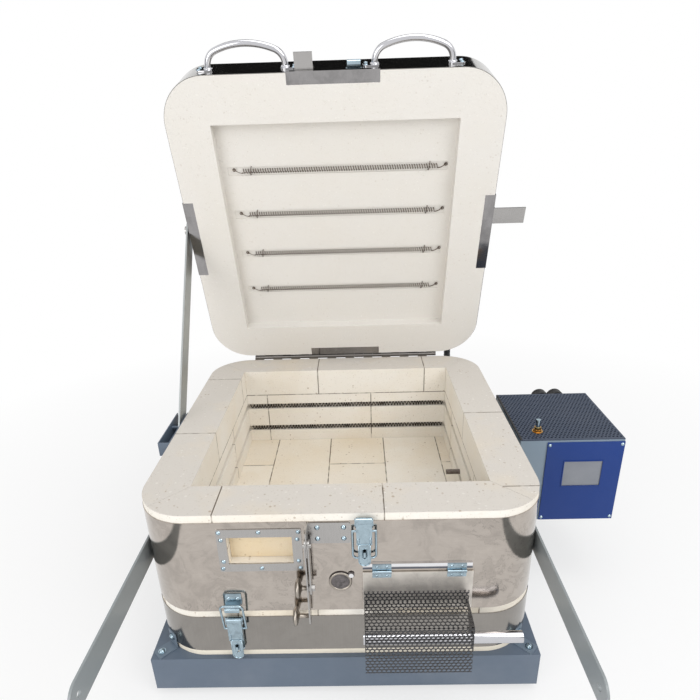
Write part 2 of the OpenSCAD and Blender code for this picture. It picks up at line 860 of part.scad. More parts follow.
module door_panel() {
  color("gainsboro")
  translate([door_x, door_face, rim_z - door_low]) cube([door_w, 1.6, door_low - door_hinge_z - 3]);
}

guard_x = door_x + 1;
guard_w = door_w - 5;
guard_t = 1;
tube_y = front - guard_out + guard_t + 0.5 + tube_d / 2;
tube_z = rim_z - guard_z - 27;

// Staggered rows of holes, drawn flat; rows run along X
module hole_rows(w, h) {
  cols = floor((w - hole_pitch) / hole_pitch);
  rows = floor((h - hole_d) / (hole_pitch * 0.866));
  for (i = [0:cols - 1], j = [0:rows - 1])
    translate([
      (w - (cols - 0.5) * hole_pitch) / 2 + (i + (j % 2) / 2) * hole_pitch,
      (h - (rows - 1) * hole_pitch * 0.866) / 2 + j * hole_pitch * 0.866
    ]) circle(hole_d / 2);
}

module door_guard() {
  z = rim_z - guard_z;
  color([0.3, 0.31, 0.33]) {
    translate([guard_x, door_face - guard_t, z]) cube([guard_w, guard_t, 19]);
    difference() {
      translate([guard_x, front - guard_out, z - guard_t])
        cube([guard_w, door_face - front + guard_out, guard_t]);
      translate([guard_x, front - guard_out + guard_t, z - guard_t - 1]) linear_extrude(3)
        hole_rows(guard_w, guard_out - 4);
    }
    difference() {
      translate([guard_x, front - guard_out, z - guard_drop])
        cube([guard_w, guard_t, guard_drop - guard_t + eps]);
      translate([guard_x, front - guard_out + 2, z - guard_drop]) rotate([90, 0, 0]) linear_extrude(4)
        hole_rows(guard_w, guard_drop - 2);
    }
    for (x = [guard_x, guard_x + guard_w - 1.2])
      difference() {
        translate([x, 0, z - guard_t]) rotate([90, 0, 90]) linear_extrude(1.2)
          polygon([[door_face - guard_t, 0], [front - guard_out + guard_t, 0],
            [front - guard_out + guard_t, -42], [tube_y + 10, -42], [door_face - guard_t, -10]]);
        rod_x(x - 1, x + 3, tube_y, tube_z, tube_d / 2 + pin_clear);
      }
  }
}

module door_handle() {
  color("gainsboro") difference() {
    rod_x(guard_x - 2, guard_x + guard_w + tube_past, tube_y, tube_z, tube_d / 2);
    rod_x(guard_x - 3, guard_x + guard_w + tube_past + 1, tube_y, tube_z, tube_d / 2 - box_t);
  }
}

// Control box

module box_standoffs() {
  color([0.1, 0.1, 0.11])
  for (y = [box_y + 12, box_y + box_d - 32], z = [box_z + 30, box_z + box_h - 40])
    translate([side, y, z]) cube([box_gap, 20, 14]);
}

module box_case() {
  color("slategray") {
    difference() {
      translate([box_x, box_y, box_z]) cube([box_w, box_d, box_h - box_t]);
      translate([box_x + box_t, box_y + box_t, box_z + box_t])
        cube([box_w - 2 * box_t, box_d - 2 * box_t, box_h]);
      translate([box_x + box_w - plate_w + 8, box_y - 1, box_z + 10]) cube([plate_w - 16, 4, box_h - 24]);
    }
  }
}

module box_cover() {
  color([0.28, 0.33, 0.39]) difference() {
    translate([box_x, box_y, box_z + box_h - box_t]) cube([box_w, box_d, box_t]);
    for (i = [0:7], j = [0:7])
      if (i > 1 || j > 1)
        translate([box_x + 20 + i * (box_w - 40) / 7, box_y + 24 + j * (box_d - 48) / 7, box_z + box_h - 4])
          cylinder(d = 5, h = 6);
    translate([switch_x, switch_y, box_z + box_h - 4]) cylinder(r = 4.4, h = 6);
  }
}

module faceplate() {
  color([0.13, 0.22, 0.5]) difference() {
    translate([box_x + box_w - plate_w, box_y - 2, box_z + 1]) cube([plate_w, 2, box_h - 6]);
    translate([screen_x, box_y - 3, screen_z]) cube([screen_w, 4, screen_h]);
  }
}

screen_w = 65;
screen_h = 49;
screen_x = box_x + box_w - plate_w + 31;
screen_z = box_z + box_h - 90;

module screen() {
  color([0.45, 0.47, 0.5])
  translate([screen_x + 0.1, box_y - 1.4, screen_z + 0.1]) cube([screen_w - 0.2, 4, screen_h - 0.2]);
}

module box_screws() {
  color("gainsboro")
  for (x = [box_x + box_w - plate_w + 4, box_x + box_w - 4], z = [box_z + 6, box_z + box_h - 10])
    translate([x, box_y - 2, z]) rotate([90, 0, 0]) rivet(3, 1.6);
}

module cable_glands() {
  color([0.08, 0.08, 0.09])
  for (x = [box_x + 91, box_x + 121])
    translate([x, box_y + box_d, box_z + box_h - 16]) rotate([-90, 0, 0]) {
      cylinder(r = 12.5, h = 6, $fn = 6);
      translate([0, 0, 6]) cylinder(r = 10, h = 10);
      translate([0, 0, 16]) cylinder(r1 = 10.5, r2 = 8, h = 12);
    }
}

module control_internals() {
  color([0.16, 0.3, 0.2])
  translate([screen_x - 20, box_y + 10, box_z + 12]) cube([105, 1.6, 120]);
  color([0.2, 0.2, 0.22]) {
    for (x = [screen_x - 14, screen_x + 78], z = [box_z + 18, box_z + 126])
      translate([x, box_y, z]) rotate([-90, 0, 0]) cylinder(r = 3, h = 10);
    translate([box_x + 20, box_y + 95, box_z + box_t]) cube([64, 52, 70]);
    translate([box_x + 100, box_y + 110, box_z + box_t]) cube([56, 40, 48]);
  }
}

module switch_plunger() {
  color("goldenrod") translate([switch_x, switch_y, rim_z - 36]) cylinder(r = 4, h = 36.5);
}

module switch_nut() {
  color("goldenrod") translate([switch_x, switch_y, box_z + box_h]) difference() {
    union() {
      cylinder(r = 9, h = 1);
      translate([0, 0, 1]) cylinder(r = 7.5, h = 3.5, $fn = 6);
      cylinder(r = 5.6, h = 9);
    }
    translate([0, 0, -1]) cylinder(r = 4 + pin_clear, h = 12);
  }
}

// Rear wiring

cover_w = 50;
cover_out = 42;
cover_drop = 150;
cover_h = 110;

module terminal_cover() {
  x0 = conduit_x - cover_w / 2;
  color("slategray") difference() {
    translate([x0, rear, rim_z - cover_drop]) cube([cover_w, cover_out, cover_h]);
    translate([x0 + box_t, rear - 1, rim_z - cover_drop + box_t])
      cube([cover_w - 2 * box_t, cover_out + 1 - box_t, cover_h - 2 * box_t]);
  }
}

// Stations of the flexible conduit: y behind the jacket, z from the rim and the way it runs
conduit_path = [
  [42, -95, 90], [55, -94, 82], [69, -90, 68], [82, -82, 54], [93, -70, 42], [100, -55, 26],
  [104, -38, 12], [105, -20, 2], [103, -2, -8], [99, 15, -14], [93, 31, -18], [86, 45, -19],
  [73.5, 63.5, -18]
];

// Rings of ten points carried along the conduit, from the ring's cover to the lid's cover
module conduit() {
  rings = [for (c = conduit_path)
    [for (k = [0:9])
      [conduit_x + conduit_r * cos(36 * k),
        rear + c[0] - conduit_r * sin(36 * k) * cos(c[2]),
        rim_z + c[1] + conduit_r * sin(36 * k) * sin(c[2])]]];
  color([0.12, 0.12, 0.13]) tube_mesh(rings, 10);
}

// Lid

clip_len = 148;
clip_t = 1.2;
clip_in = 18;
// Distance from the middle of the lid to the edge that a turn brings to the front
function edge(turn) = turn % 180 == 0 ? half_d : half_w;

module lid_slab() {
  color([0.95, 0.94, 0.9]) lid_open() difference() {
    translate([0, 0, lid_z]) linear_extrude(lid_h - jacket_t) round_rect(body_w, body_d, corner_r);
    translate([-recess_w / 2, -recess_w / 2, lid_z - 1]) cube([recess_w, recess_w, recess_h + 1]);
    for (i = [-1.5:1:1.5])
      translate([-recess_w / 2 + 12, i * lid_row_pitch - coil_d / 2 - 3, lid_z + recess_h - 1])
        cube([recess_w - 24, coil_d + 6, coil_d / 2 + 2]);
    for (a = [0:90:270]) rotate([0, 0, a])
      translate([-clip_len / 2, -edge(a) - 1, lid_z - 1]) cube([clip_len, clip_in, clip_t + 1]);
  }
}

module lid_jacket() {
  color("silver") lid_open() {
    band(lid_z + 1.5, lid_h - 1.5);
    translate([0, 0, lid_z + lid_h - jacket_t]) linear_extrude(jacket_t) round_rect(body_w, body_d, corner_r);
  }
}

lid_coil_z = lid_z + recess_h + 0.5;

module lid_elements() {
  color([0.5, 0.47, 0.43]) lid_open()
  for (i = [-1.5:1:1.5]) translate([4, i * lid_row_pitch, lid_coil_z]) {
    coil(lid_turns, lid_coil_len);
    for (s = [-1, 1]) translate([s * (lid_coil_len / 2 - 14), 0, 0]) staple();
  }
}

// A wire staple that straddles a coil and goes into the slab on both sides of it
module staple() {
  translate([0, 0, -coil_d / 2 - 1.4]) rotate([90, 0, 90]) linear_extrude(1.2, center = true) difference() {
    translate([-7.2, 0]) square([14.4, coil_d + 1.9]);
    translate([-6, 1.2]) square([12, coil_d + 5]);
  }
}

// Clips hooked over the rim of the lid, let in flush with the slab
module lid_clips() {
  color("gainsboro") lid_open() {
    for (a = [0:90:270]) rotate([0, 0, a])
      translate([-clip_len / 2, -edge(a) - jacket_t, lid_z]) cube([clip_len, clip_in, clip_t]);
    for (a = [90, 270]) rotate([0, 0, a])
      translate([-clip_len / 2, -side - clip_t, lid_z]) cube([clip_len, clip_t, 26]);
    translate([-clip_len / 2, front - clip_t, lid_z]) cube([clip_len, clip_t, 7]);
    for (a = [90, 270], x = [-60, 60]) rotate([0, 0, a])
      translate([x, -side - clip_t, lid_z + 16]) rotate([90, 0, 0]) rivet(4, 1.9);
  }
}

module lid_handles() {
  color("gainsboro") lid_open()
  for (x = [-138, 128]) handle(x);
}

// A bow handle on the front band: two foot plates and a bent bar
module handle(x) {
  r = 16;
  half = handle_w / 2;
  reach = handle_reach;
  bar = handle_d / 2;
  z = lid_z + lid_h / 2;
  for (s = [-1, 1]) {
    translate([x + s * (half + 6), front, z]) rotate([90, 0, 0]) round_plate(26, 24, 2, 5);
    translate([x + s * half, front - 1, z]) rotate([90, 0, 0]) cylinder(r = bar, h = reach - r - 1);
    translate([x + s * (half - r), front - reach + r, z]) rotate([0, 0, s > 0 ? 270 : 180])
      rotate_extrude(angle = 90) translate([r, 0]) circle(bar);
  }
  rod_x(x - half + r, x + half - r, front - reach, z, bar);
}

module lid_tabs() {
  x1 = side + clip_t;
  color([0.75, 0.76, 0.77]) lid_open() {
    translate([-60, front - 26, lid_z + 8]) cube([29, 26, 2]);
    translate([-56, front - 2, lid_z + 8]) cube([25, 2, 30]);
    translate([x1, switch_y - 16, lid_z + 2]) cube([58, 30, 2]);
    translate([x1, switch_y - 16, lid_z + 2]) cube([2, 30, 34]);
    rod_x(stay_x - 6, -side - clip_t, stay_pivot_y, lid_z + stay_pivot_z, 4);
    rod_x(stay_x - 6, stay_x - 0.4, stay_pivot_y, lid_z + stay_pivot_z, 8);
    rod_x(stay_x + stay_t + 0.4, -side - clip_t, stay_pivot_y, lid_z + stay_pivot_z, 8);
  }
}

module latch_keeper() {
  color("lightsteelblue") lid_open() latch_hook(top_latch_x, lid_roll_z, 22);
}

// Long covers over the ends of the lid coils
module lid_terminal_covers() {
  color("slategray") lid_open()
  for (s = [-1, 1])
    translate([s * conduit_x - cover_w / 2, 130 - half_d, lid_z + lid_h]) difference() {
      cube([cover_w, body_d - (s > 0 ? 160 : 260), 24]);
      translate([box_t, box_t, -1])
        cube([cover_w - 2 * box_t, body_d - (s > 0 ? 160 : 260) - 2 * box_t, 25 - box_t]);
    }
}

// Stay

// The flat bar from the lid bolt down to the channel; its lower end is cut level
module stay_arm() {
  d = [stay_pivot_y - hinge_y, lid_z + stay_pivot_z - hinge_z];
  py = hinge_y + d[0] * cos(lid_open_deg) + d[1] * sin(lid_open_deg);
  pz = hinge_z - d[0] * sin(lid_open_deg) + d[1] * cos(lid_open_deg);
  ang = atan2(pz - stay_line_z, py - stay_line_y);
  long = norm([pz - stay_line_z, py - stay_line_y]);
  color("silver") difference() {
    translate([stay_x, stay_line_y, stay_line_z]) rotate([ang, 0, 0]) {
      translate([0, -60, -stay_w / 2]) cube([stay_t, long + 60, stay_w]);
      rod_x(0, stay_t, long, 0, stay_w / 2);
    }
    translate([stay_x - 1, -200, stay_cut_z - 200]) cube([stay_t + 2, 400, 200]);
    rod_x(stay_x - 1, stay_x + stay_t + 1, py, pz, 4 + pin_clear);
  }
}

place() base_tray();
place() tray_feet();
place() corner_clips();
place() base_board();
place() floor_bricks();
place() base_jacket();
place() base_hinge_leaves();
place() lower_latch_base();
place() ring_jacket();
place() wall_front();
place() wall_back();
place() wall_left();
place() wall_right();
place() wall_elements();
place() thermocouple();
place() port_frame();
place() ring_fasteners();
place() side_arms();
place() stay_channel();
place() vent_bracket();
place() top_latch_base();
place() lower_keeper();
place() door_header();
place() door_hinge_upper();
place() ring_hinge_leaf();
place() ring_base_leaves();
place() box_standoffs();
place() box_case();
place() box_cover();
place() faceplate();
place() screen();
place() box_screws();
place() cable_glands();
place() control_internals();
place() switch_nut();
place() terminal_cover();
place() conduit();
place() lid_slab();
place() lid_jacket();
place() lid_clips();
place() lid_handles();
place() lid_elements();
place() lid_hinge_leaf();
place() lid_tabs();
place() latch_keeper();
place() lid_terminal_covers();
place() stay_arm();
place() door_panel();
place() door_guard();
place() door_handle();
place() door_hinge_lower();
place() vent_prop();
place() prop_knobs();
place() top_lever();
place() top_bail();
place() low_lever();
place() low_bail();
place() switch_plunger();
place() peep_cover();
place() port_plug();
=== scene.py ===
"""Bead annealing kiln: fine parts, finishes, studio and camera round the packed frame.

Kiln millimetres are lengths in the kiln's own place: X and Y from the middle of the
brick body and Z from the brick rim. The helper `spot` turns them into metres.
"""

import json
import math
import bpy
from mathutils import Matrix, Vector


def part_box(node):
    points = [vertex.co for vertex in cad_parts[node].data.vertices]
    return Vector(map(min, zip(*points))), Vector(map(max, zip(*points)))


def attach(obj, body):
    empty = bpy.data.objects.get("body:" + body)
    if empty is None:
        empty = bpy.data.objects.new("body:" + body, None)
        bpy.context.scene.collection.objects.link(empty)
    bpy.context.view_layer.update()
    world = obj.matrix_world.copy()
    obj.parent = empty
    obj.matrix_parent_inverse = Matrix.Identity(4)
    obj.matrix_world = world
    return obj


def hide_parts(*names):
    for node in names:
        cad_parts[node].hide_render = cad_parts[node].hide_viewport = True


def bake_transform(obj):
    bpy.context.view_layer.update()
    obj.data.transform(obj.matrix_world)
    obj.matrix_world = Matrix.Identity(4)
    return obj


bl_info = {
    "name": "Bead Annealing Kiln",
    "version": (1, 0, 0),
    "blender": (4, 5, 0),
    "location": "3D View > Sidebar > Kiln",
    "description": "Adds the fine parts, finishes and studio of a bead annealing kiln to its frame",
    "category": "Object",
}

import bmesh
import bpy
import numpy as np

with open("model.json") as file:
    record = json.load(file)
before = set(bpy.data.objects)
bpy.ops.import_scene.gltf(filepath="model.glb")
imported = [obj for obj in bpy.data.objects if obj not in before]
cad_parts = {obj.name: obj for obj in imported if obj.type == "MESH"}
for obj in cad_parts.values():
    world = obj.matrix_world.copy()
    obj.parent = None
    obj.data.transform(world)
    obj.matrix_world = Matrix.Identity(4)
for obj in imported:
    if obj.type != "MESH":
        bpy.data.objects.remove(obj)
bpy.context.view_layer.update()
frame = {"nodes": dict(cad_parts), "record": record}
nodes = frame["nodes"]

jacket_low, jacket_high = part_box("ring_jacket")
MIDDLE = np.array([(jacket_low.x + jacket_high.x) / 2, (jacket_low.y + jacket_high.y) / 2])
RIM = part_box("wall_front")[1].z
FRONT = (jacket_low.y - MIDDLE[1]) * 1000
REAR = (jacket_high.y - MIDDLE[1]) * 1000
LID_ANGLE = math.radians(72)
HINGE_Y, HINGE_Z = 288.0, 3.0
LID_UNDER = 0.3
CORNER = 75.0
ORIGIN = np.array([MIDDLE[0], MIDDLE[1], RIM])
TURN = 2 * math.pi


# Places and surfaces


def spot(points):
    """Kiln millimetres to metres in the frame: a thousandth, from the kiln's own origin."""
    return np.asarray(points, float) / 1000 + ORIGIN


def kiln_box(name):
    """The low and the high corner of a part of the frame, in kiln millimetres."""
    low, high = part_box(name)
    return (np.array(low) - ORIGIN) * 1000, (np.array(high) - ORIGIN) * 1000


def around(count):
    """Angles evenly spaced round a whole turn."""
    return np.arange(count) * TURN / count


def mesh_piece(name, points, faces, smooth=True):
    """One object from an array of points and arrays of faces; every face list is an
    array with one row per face."""
    faces = [np.asarray(f, np.int32) for f in faces if len(f)]
    corners = np.concatenate([f.ravel() for f in faces])
    sizes = np.concatenate([np.full(len(f), f.shape[1], np.int32) for f in faces])
    starts = np.concatenate([[0], np.cumsum(sizes)[:-1]]).astype(np.int32)
    mesh = bpy.data.meshes.new(name)
    mesh.vertices.add(len(points))
    mesh.vertices.foreach_set("co", np.asarray(points, np.float32).ravel())
    mesh.loops.add(len(corners))
    mesh.loops.foreach_set("vertex_index", corners)
    mesh.polygons.add(len(sizes))
    mesh.polygons.foreach_set("loop_start", starts)
    mesh.update(calc_edges=True)
    mesh.validate()
    mesh.polygons.foreach_set("use_smooth", np.full(len(mesh.polygons), smooth))
    piece = bpy.data.objects.new(name, mesh)
    bpy.context.scene.collection.objects.link(piece)
    return piece


def grid_faces(rows, columns):
    """Four-cornered faces between rings of points, one ring a row."""
    i = np.arange(rows - 1)[:, None]
    j = np.arange(columns)[None, :]
    k = (j + 1) % columns
    corner = np.stack([i * columns + j, i * columns + k, (i + 1) * columns + k, (i + 1) * columns + j], -1)
    return corner.reshape(-1, 4)


def tube(path, radius, flat, sides=8):
    """A round bar along a path that lies in one plane. Each ring of points is
    centre + r * (cos a * side + sin a * flat), where flat is the plane's normal and
    side is at right angles to it and to the path's direction."""
    path = np.asarray(path, float)
    flat = np.asarray(flat, float)
    along = np.gradient(path, axis=0)
    along /= np.linalg.norm(along, axis=1)[:, None]
    side = np.cross(flat, along)
    side /= np.linalg.norm(side, axis=1)[:, None]
    a = around(sides)
    radius = np.broadcast_to(np.asarray(radius, float), len(path))[:, None, None]
    rings = path[:, None, :] + radius * (
        np.cos(a)[None, :, None] * side[:, None, :] + np.sin(a)[None, :, None] * flat[None, None, :]
    )
    n = len(path)
    ends = np.stack([np.arange(sides), (n - 1) * sides + np.arange(sides)[::-1]])
    return rings.reshape(-1, 3), [grid_faces(n, sides)[:, ::-1], ends]


def turned(profile, centre, axis, sides=48):
    """A lathe shape: profile is rows of (radius, height), swung round the axis through
    centre. A radius of nothing closes the shape at that end."""
    profile = np.asarray(profile, float)
    axis = np.asarray(axis, float) / np.linalg.norm(axis)
    other = np.array([0.0, 0, 1]) if abs(axis[2]) < 0.9 else np.array([1.0, 0, 0])
    u = np.cross(axis, other)
    u /= np.linalg.norm(u)
    v = np.cross(axis, u)
    a = around(sides)
    ring = np.cos(a)[:, None] * u + np.sin(a)[:, None] * v
    points = profile[:, 0, None, None] * ring[None] + profile[:, 1, None, None] * axis
    points = points.reshape(-1, 3) + np.asarray(centre, float)
    return points, [grid_faces(len(profile), sides)]


def plate(centre, wide, high, corner, y, thick):
    """A flat plate with round corners standing in the X Z plane in front of y. Its
    outline is the corner centre plus corner * (cos a, sin a) in each quarter."""
    bevel, n, centre = 0.4, 32, np.asarray(centre)
    a = around(n) + math.pi / n
    c, s = np.cos(a), np.sin(a)
    outline = np.stack([np.sign(c) * (wide / 2 - corner) + corner * c,
                        np.sign(s) * (high / 2 - corner) + corner * s], -1)
    inner = outline * (1 - 1.5 * bevel / min(wide, high))
    rings = [np.insert(ring + centre, 1, depth, 1)
             for ring, depth in ((outline, y), (outline, y - thick + bevel), (inner, y - thick))]
    k = np.arange(n)
    return np.concatenate(rings), [grid_faces(3, n), np.array([k[::-1], k + 2 * n])]


def joined(*shapes):
    """Several (points, faces) shapes as one."""
    points, quads, total = [], {}, 0
    for shape_points, shape_faces in shapes:
        points.append(shape_points)
        for faces in shape_faces:
            faces = np.asarray(faces)
            quads.setdefault(faces.shape[1], []).append(faces + total)
        total += len(shape_points)
    return np.concatenate(points), [np.concatenate(f) for f in quads.values()]


def on_lid(*shapes):
    """Several shapes of the closed lid as one, turned about the hinge line: the Y and Z
    offsets from the pin are rotated by the angle at which the lid stands open."""
    points, faces = joined(*shapes)
    y, z = points[:, 1] - HINGE_Y, points[:, 2] - HINGE_Z
    c, s = math.cos(LID_ANGLE), math.sin(LID_ANGLE)
    return np.stack([points[:, 0], HINGE_Y + y * c + z * s, HINGE_Z - y * s + z * c], -1), faces


def block(low, high):
    """A plain box between two corners, as a shape to be bevelled or joined."""
    low, high = np.asarray(low, float), np.asarray(high, float)
    pick = np.array([[i & 1, i >> 1 & 1, i >> 2 & 1] for i in range(8)])
    points = low + pick * (high - low)
    faces = np.array([[0, 2, 3, 1], [4, 5, 7, 6], [0, 1, 5, 4], [2, 6, 7, 3], [0, 4, 6, 2], [1, 3, 7, 5]])
    return points, [faces]


def outward(piece):
    """Merges doubled points and turns every face outwards."""
    work = bmesh.new()
    work.from_mesh(piece.data)
    bmesh.ops.remove_doubles(work, verts=work.verts, dist=1e-6)
    bmesh.ops.recalc_face_normals(work, faces=work.faces)
    work.to_mesh(piece.data)
    work.free()
    return piece


def spring(centre, length, outer, wire, pitch, sides=6, steps=12, wander=0.0):
    """A wire coil along X: the wire's middle is at (p * t, R cos 2 pi t, R sin 2 pi t),
    and each ring of the wire lies across the coil's direction there. With wander the
    turns open and close a little along the coil, by a sum of two slow waves."""
    turns = int(length / pitch)
    r = (outer - wire) / 2
    t = np.linspace(0, turns, turns * steps + 1)
    a = TURN * t
    drift = wander * pitch * (np.sin(a / turns * 5) + 0.7 * np.sin(a / turns * 11))
    middle = np.stack([length * (t / turns - 0.5) + drift, r * np.cos(a), r * np.sin(a)], -1)
    along = np.stack([np.full_like(a, length / turns / TURN), -r * np.sin(a), r * np.cos(a)], -1)
    along /= np.linalg.norm(along, axis=1)[:, None]
    out = np.stack([0 * a, np.cos(a), np.sin(a)], -1)
    side = np.cross(along, out)
    b = around(sides)
    rings = middle[:, None] + wire / 2 * (
        np.cos(b)[None, :, None] * out[:, None] + np.sin(b)[None, :, None] * side[:, None]
    )
    n = len(t)
    ends = np.stack([np.arange(sides)[::-1], (n - 1) * sides + np.arange(sides)])
    return rings.reshape(-1, 3) + np.asarray(centre, float), [grid_faces(n, sides), ends]


def pierced(width, height, pitch, hole, border=None, keep=None, shift=(0.0, 0.0)):
    """A flat sheet with staggered round holes, as merged points and triangles. Each hole
    stands in a six-sided cell; twelve points on the cell's edge are joined to twelve on
    the hole. A cell nearer to the edge than border, or one that keep marks, is filled
    from its middle instead. Points past the sheet's edge are brought onto it, so that
    holes there are cut off as in sheet cut from stock."""
    rise = pitch * math.sqrt(3) / 2
    columns, rows = int(width / pitch) + 4, int(height / rise) + 4
    j, i = np.meshgrid(np.arange(rows), np.arange(columns), indexing="ij")
    x = (i - 1 + (j % 2) / 2 + shift[0]) * pitch
    y = (j - 1 + shift[1]) * rise
    middle = np.stack([x.ravel(), y.ravel()], -1)
    top = np.array([width, height])
    full = np.zeros(len(middle), bool)
    if border is not None:
        full |= ((middle < border + hole / 2) | (middle > top - border - hole / 2)).any(1)
    if keep is not None:
        full |= keep(middle)
    k = np.arange(12)
    a = around(12)
    reach = np.where(k % 2 == 0, pitch / 2, pitch / math.sqrt(3))
    turn = np.stack([np.cos(a), np.sin(a)], -1)
    outline = middle[:, None] + (reach[:, None] * turn)[None]
    circle = middle[:, None] + (hole / 2 * turn)[None]
    points = np.clip(np.concatenate([outline.reshape(-1, 2), circle.reshape(-1, 2), middle]), 0, top)
    count = len(middle)
    n = (k + 1) % 12
    base = (np.arange(count) * 12)[:, None]
    far = base + count * 12
    core = (count * 24 + np.arange(count))[:, None] + 0 * k
    fans = ((base + n, far + n, ~full), (far + n, far + k, ~full), (base + n, core, full))
    faces = np.concatenate([np.stack([base + k, b, c], -1)[which].reshape(-1, 3) for b, c, which in fans])
    keyed, back = np.unique(np.round(points, 4), axis=0, return_inverse=True)
    faces = back.ravel()[faces]
    b, c = (keyed[faces[:, m]] - keyed[faces[:, 0]] for m in (1, 2))
    faces = faces[b[:, 0] * c[:, 1] - b[:, 1] * c[:, 0] > 1e-4]
    used, order = np.unique(faces, return_inverse=True)
    return keyed[used], order.reshape(-1, 3)


def thick_sheet(flat, place, thickness):
    """Gives a pierced sheet its thickness: one copy of the faces on each side and a
    wall along every edge that only one face has. place maps flat points and a height
    across the sheet to space."""
    points, faces = flat
    n = len(points)
    pairs = np.stack([faces, np.roll(faces, -1, 1)], -1).reshape(-1, 2)
    _, where, times = np.unique(np.sort(pairs, 1), axis=0, return_inverse=True, return_counts=True)
    edge = pairs[times[where.ravel()] == 1]
    walls = np.stack([edge[:, 1], edge[:, 0], edge[:, 0] + n, edge[:, 1] + n], -1)
    solid = np.concatenate([place(points, thickness), place(points, 0)])
    return solid, [walls, np.concatenate([faces, faces[:, ::-1] + n])]


# Finishes


def paint(red, green, blue):
    """A screen colour from 0 to 255 as the linear colour that the shader takes."""
    c = np.array([red, green, blue]) / 255
    c = np.where(c <= 0.04045, c / 12.92, ((c + 0.055) / 1.055) ** 2.4)
    return tuple(float(v) for v in c) + (1.0,)


def dim(color, share, more=0.0):
    """A colour times a share and a little more, but never brighter than white."""
    return tuple(min(1.0, v * share + more) for v in color[:3]) + (1,)


def fill(tree, place, value):
    """Links a socket to an input, or types a value into it."""
    if isinstance(value, bpy.types.NodeSocket):
        tree.links.new(value, place)
    else:
        place.default_value = value


def put(tree, kind, settings=None, **sockets):
    """Adds a shader node. A socket's name is written with _ for a space, or n0, n1 for
    its number; a value is typed in and a socket is linked."""
    made = tree.nodes.new(kind)
    for key, value in (settings or {}).items():
        setattr(made, key, value)
    for key, value in sockets.items():
        numbered = key[0] == "n" and key[1:].isdigit()
        fill(tree, made.inputs[int(key[1:]) if numbered else key.replace("_", " ")], value)
    return made


def sums(tree, what, *terms):
    """One arithmetic node on numbers or sockets."""
    return put(tree, "ShaderNodeMath", {"operation": what}, **{f"n{i}": t for i, t in enumerate(terms)}).outputs[0]


def times(tree, first, second):
    """One number by another."""
    return sums(tree, "MULTIPLY", first, second)


def plus(tree, first, second):
    """Two numbers together."""
    return sums(tree, "ADD", first, second)


def minus(tree, first, second):
    """One number less another."""
    return sums(tree, "SUBTRACT", first, second)


def blend(tree, amount, first, second):
    """One colour over another by an amount."""
    return put(tree, "ShaderNodeMix", {"data_type": "RGBA"}, n0=amount, n6=first, n7=second).outputs[2]


def over(tree, shade, mask, share, color):
    """Lays a colour over a shade by a share of a mask."""
    return blend(tree, times(tree, mask, share), shade, color)


def step(tree, value, low, high, to_low=0.0, to_high=1.0):
    """Carries a value from one range to another and stops it at the ends."""
    return put(tree, "ShaderNodeMapRange", {"clamp": True}, Value=value, From_Min=low, From_Max=high,
               To_Min=to_low, To_Max=to_high).outputs[0]


def noise(tree, place, scale, detail, rough=0.5):
    """A soft cloud of numbers round one half."""
    return put(tree, "ShaderNodeTexNoise", Vector=place, Scale=scale, Detail=detail, Roughness=rough).outputs[0]


def vector(tree, what, first, **second):
    """One step of arithmetic on places."""
    return put(tree, "ShaderNodeVectorMath", {"operation": what}, n0=first, **second).outputs[0]


def apart(tree, place):
    """The X, Y and Z of a place, as three sockets."""
    return put(tree, "ShaderNodeSeparateXYZ", Vector=place).outputs


effects = {}


def effect(name, **inputs):
    """Makes a shader node group of the function below it, once, when it is first asked
    for. An input is a number, or a place or a stretch where it is none."""

    def named(make):
        def group():
            if name not in effects:
                tree = bpy.data.node_groups.new(name, "ShaderNodeTree")
                for label, value in inputs.items():
                    kind = "NodeSocketFloat" if isinstance(value, float) else "NodeSocketVector"
                    socket = tree.interface.new_socket(name=label.replace("_", " "), in_out="INPUT", socket_type=kind)
                    if value is not None:
                        socket.default_value = value
                results = make(tree, tree.nodes.new("NodeGroupInput").outputs)
                for label in results:
                    tree.interface.new_socket(name=label, in_out="OUTPUT", socket_type="NodeSocketFloat")
                end = tree.nodes.new("NodeGroupOutput")
                for label, socket in results.items():
                    tree.links.new(socket, end.inputs[label])
                effects[name] = tree
            return effects[name]

        group.__doc__ = make.__doc__
        return group

    return named


def apply_effect(tree, group, **sockets):
    """Places a group in a material."""
    return put(tree, "ShaderNodeGroup", {"node_tree": group}, **sockets).outputs


@effect("pores and crumbs", Vector=None, Scale=300.0)
def grain_effect(tree, given):
    """Pores and crumbs: small dark pits, small pale crumbs and a fine relief."""
    fine = noise(tree, given["Vector"], given["Scale"], 4.0, 0.7)
    cells = put(tree, "ShaderNodeTexVoronoi", Vector=given["Vector"], Scale=given["Scale"], Randomness=1.0).outputs
    pick = put(tree, "ShaderNodeSeparateColor", Color=cells["Color"]).outputs
    pit_size = step(tree, pick[0], 0.62, 1.0, 0.0, 0.42)
    pit = step(tree, minus(tree, pit_size, cells["Distance"]), 0.0, 0.12)
    crumb_size = step(tree, pick[1], 0.72, 1.0, 0.0, 0.4)
    crumb = step(tree, minus(tree, crumb_size, cells["Distance"]), 0.0, 0.1)
    relief = minus(tree, plus(tree, fine, times(tree, crumb, 0.5)), pit)
    return {"Pits": pit, "Crumbs": crumb, "Relief": relief, "Grain": fine}


@effect("brushed lines", Vector=None, Stretch=(40.0, 40.0, 2000.0))
def brushed_effect(tree, given):
    """Fine parallel lines of a brushed or rolled sheet: noise drawn out by Stretch."""
    drawn = vector(tree, "MULTIPLY", given["Vector"], n1=given["Stretch"])
    return {"Lines": noise(tree, drawn, 1.0, 3.0, 0.6)}


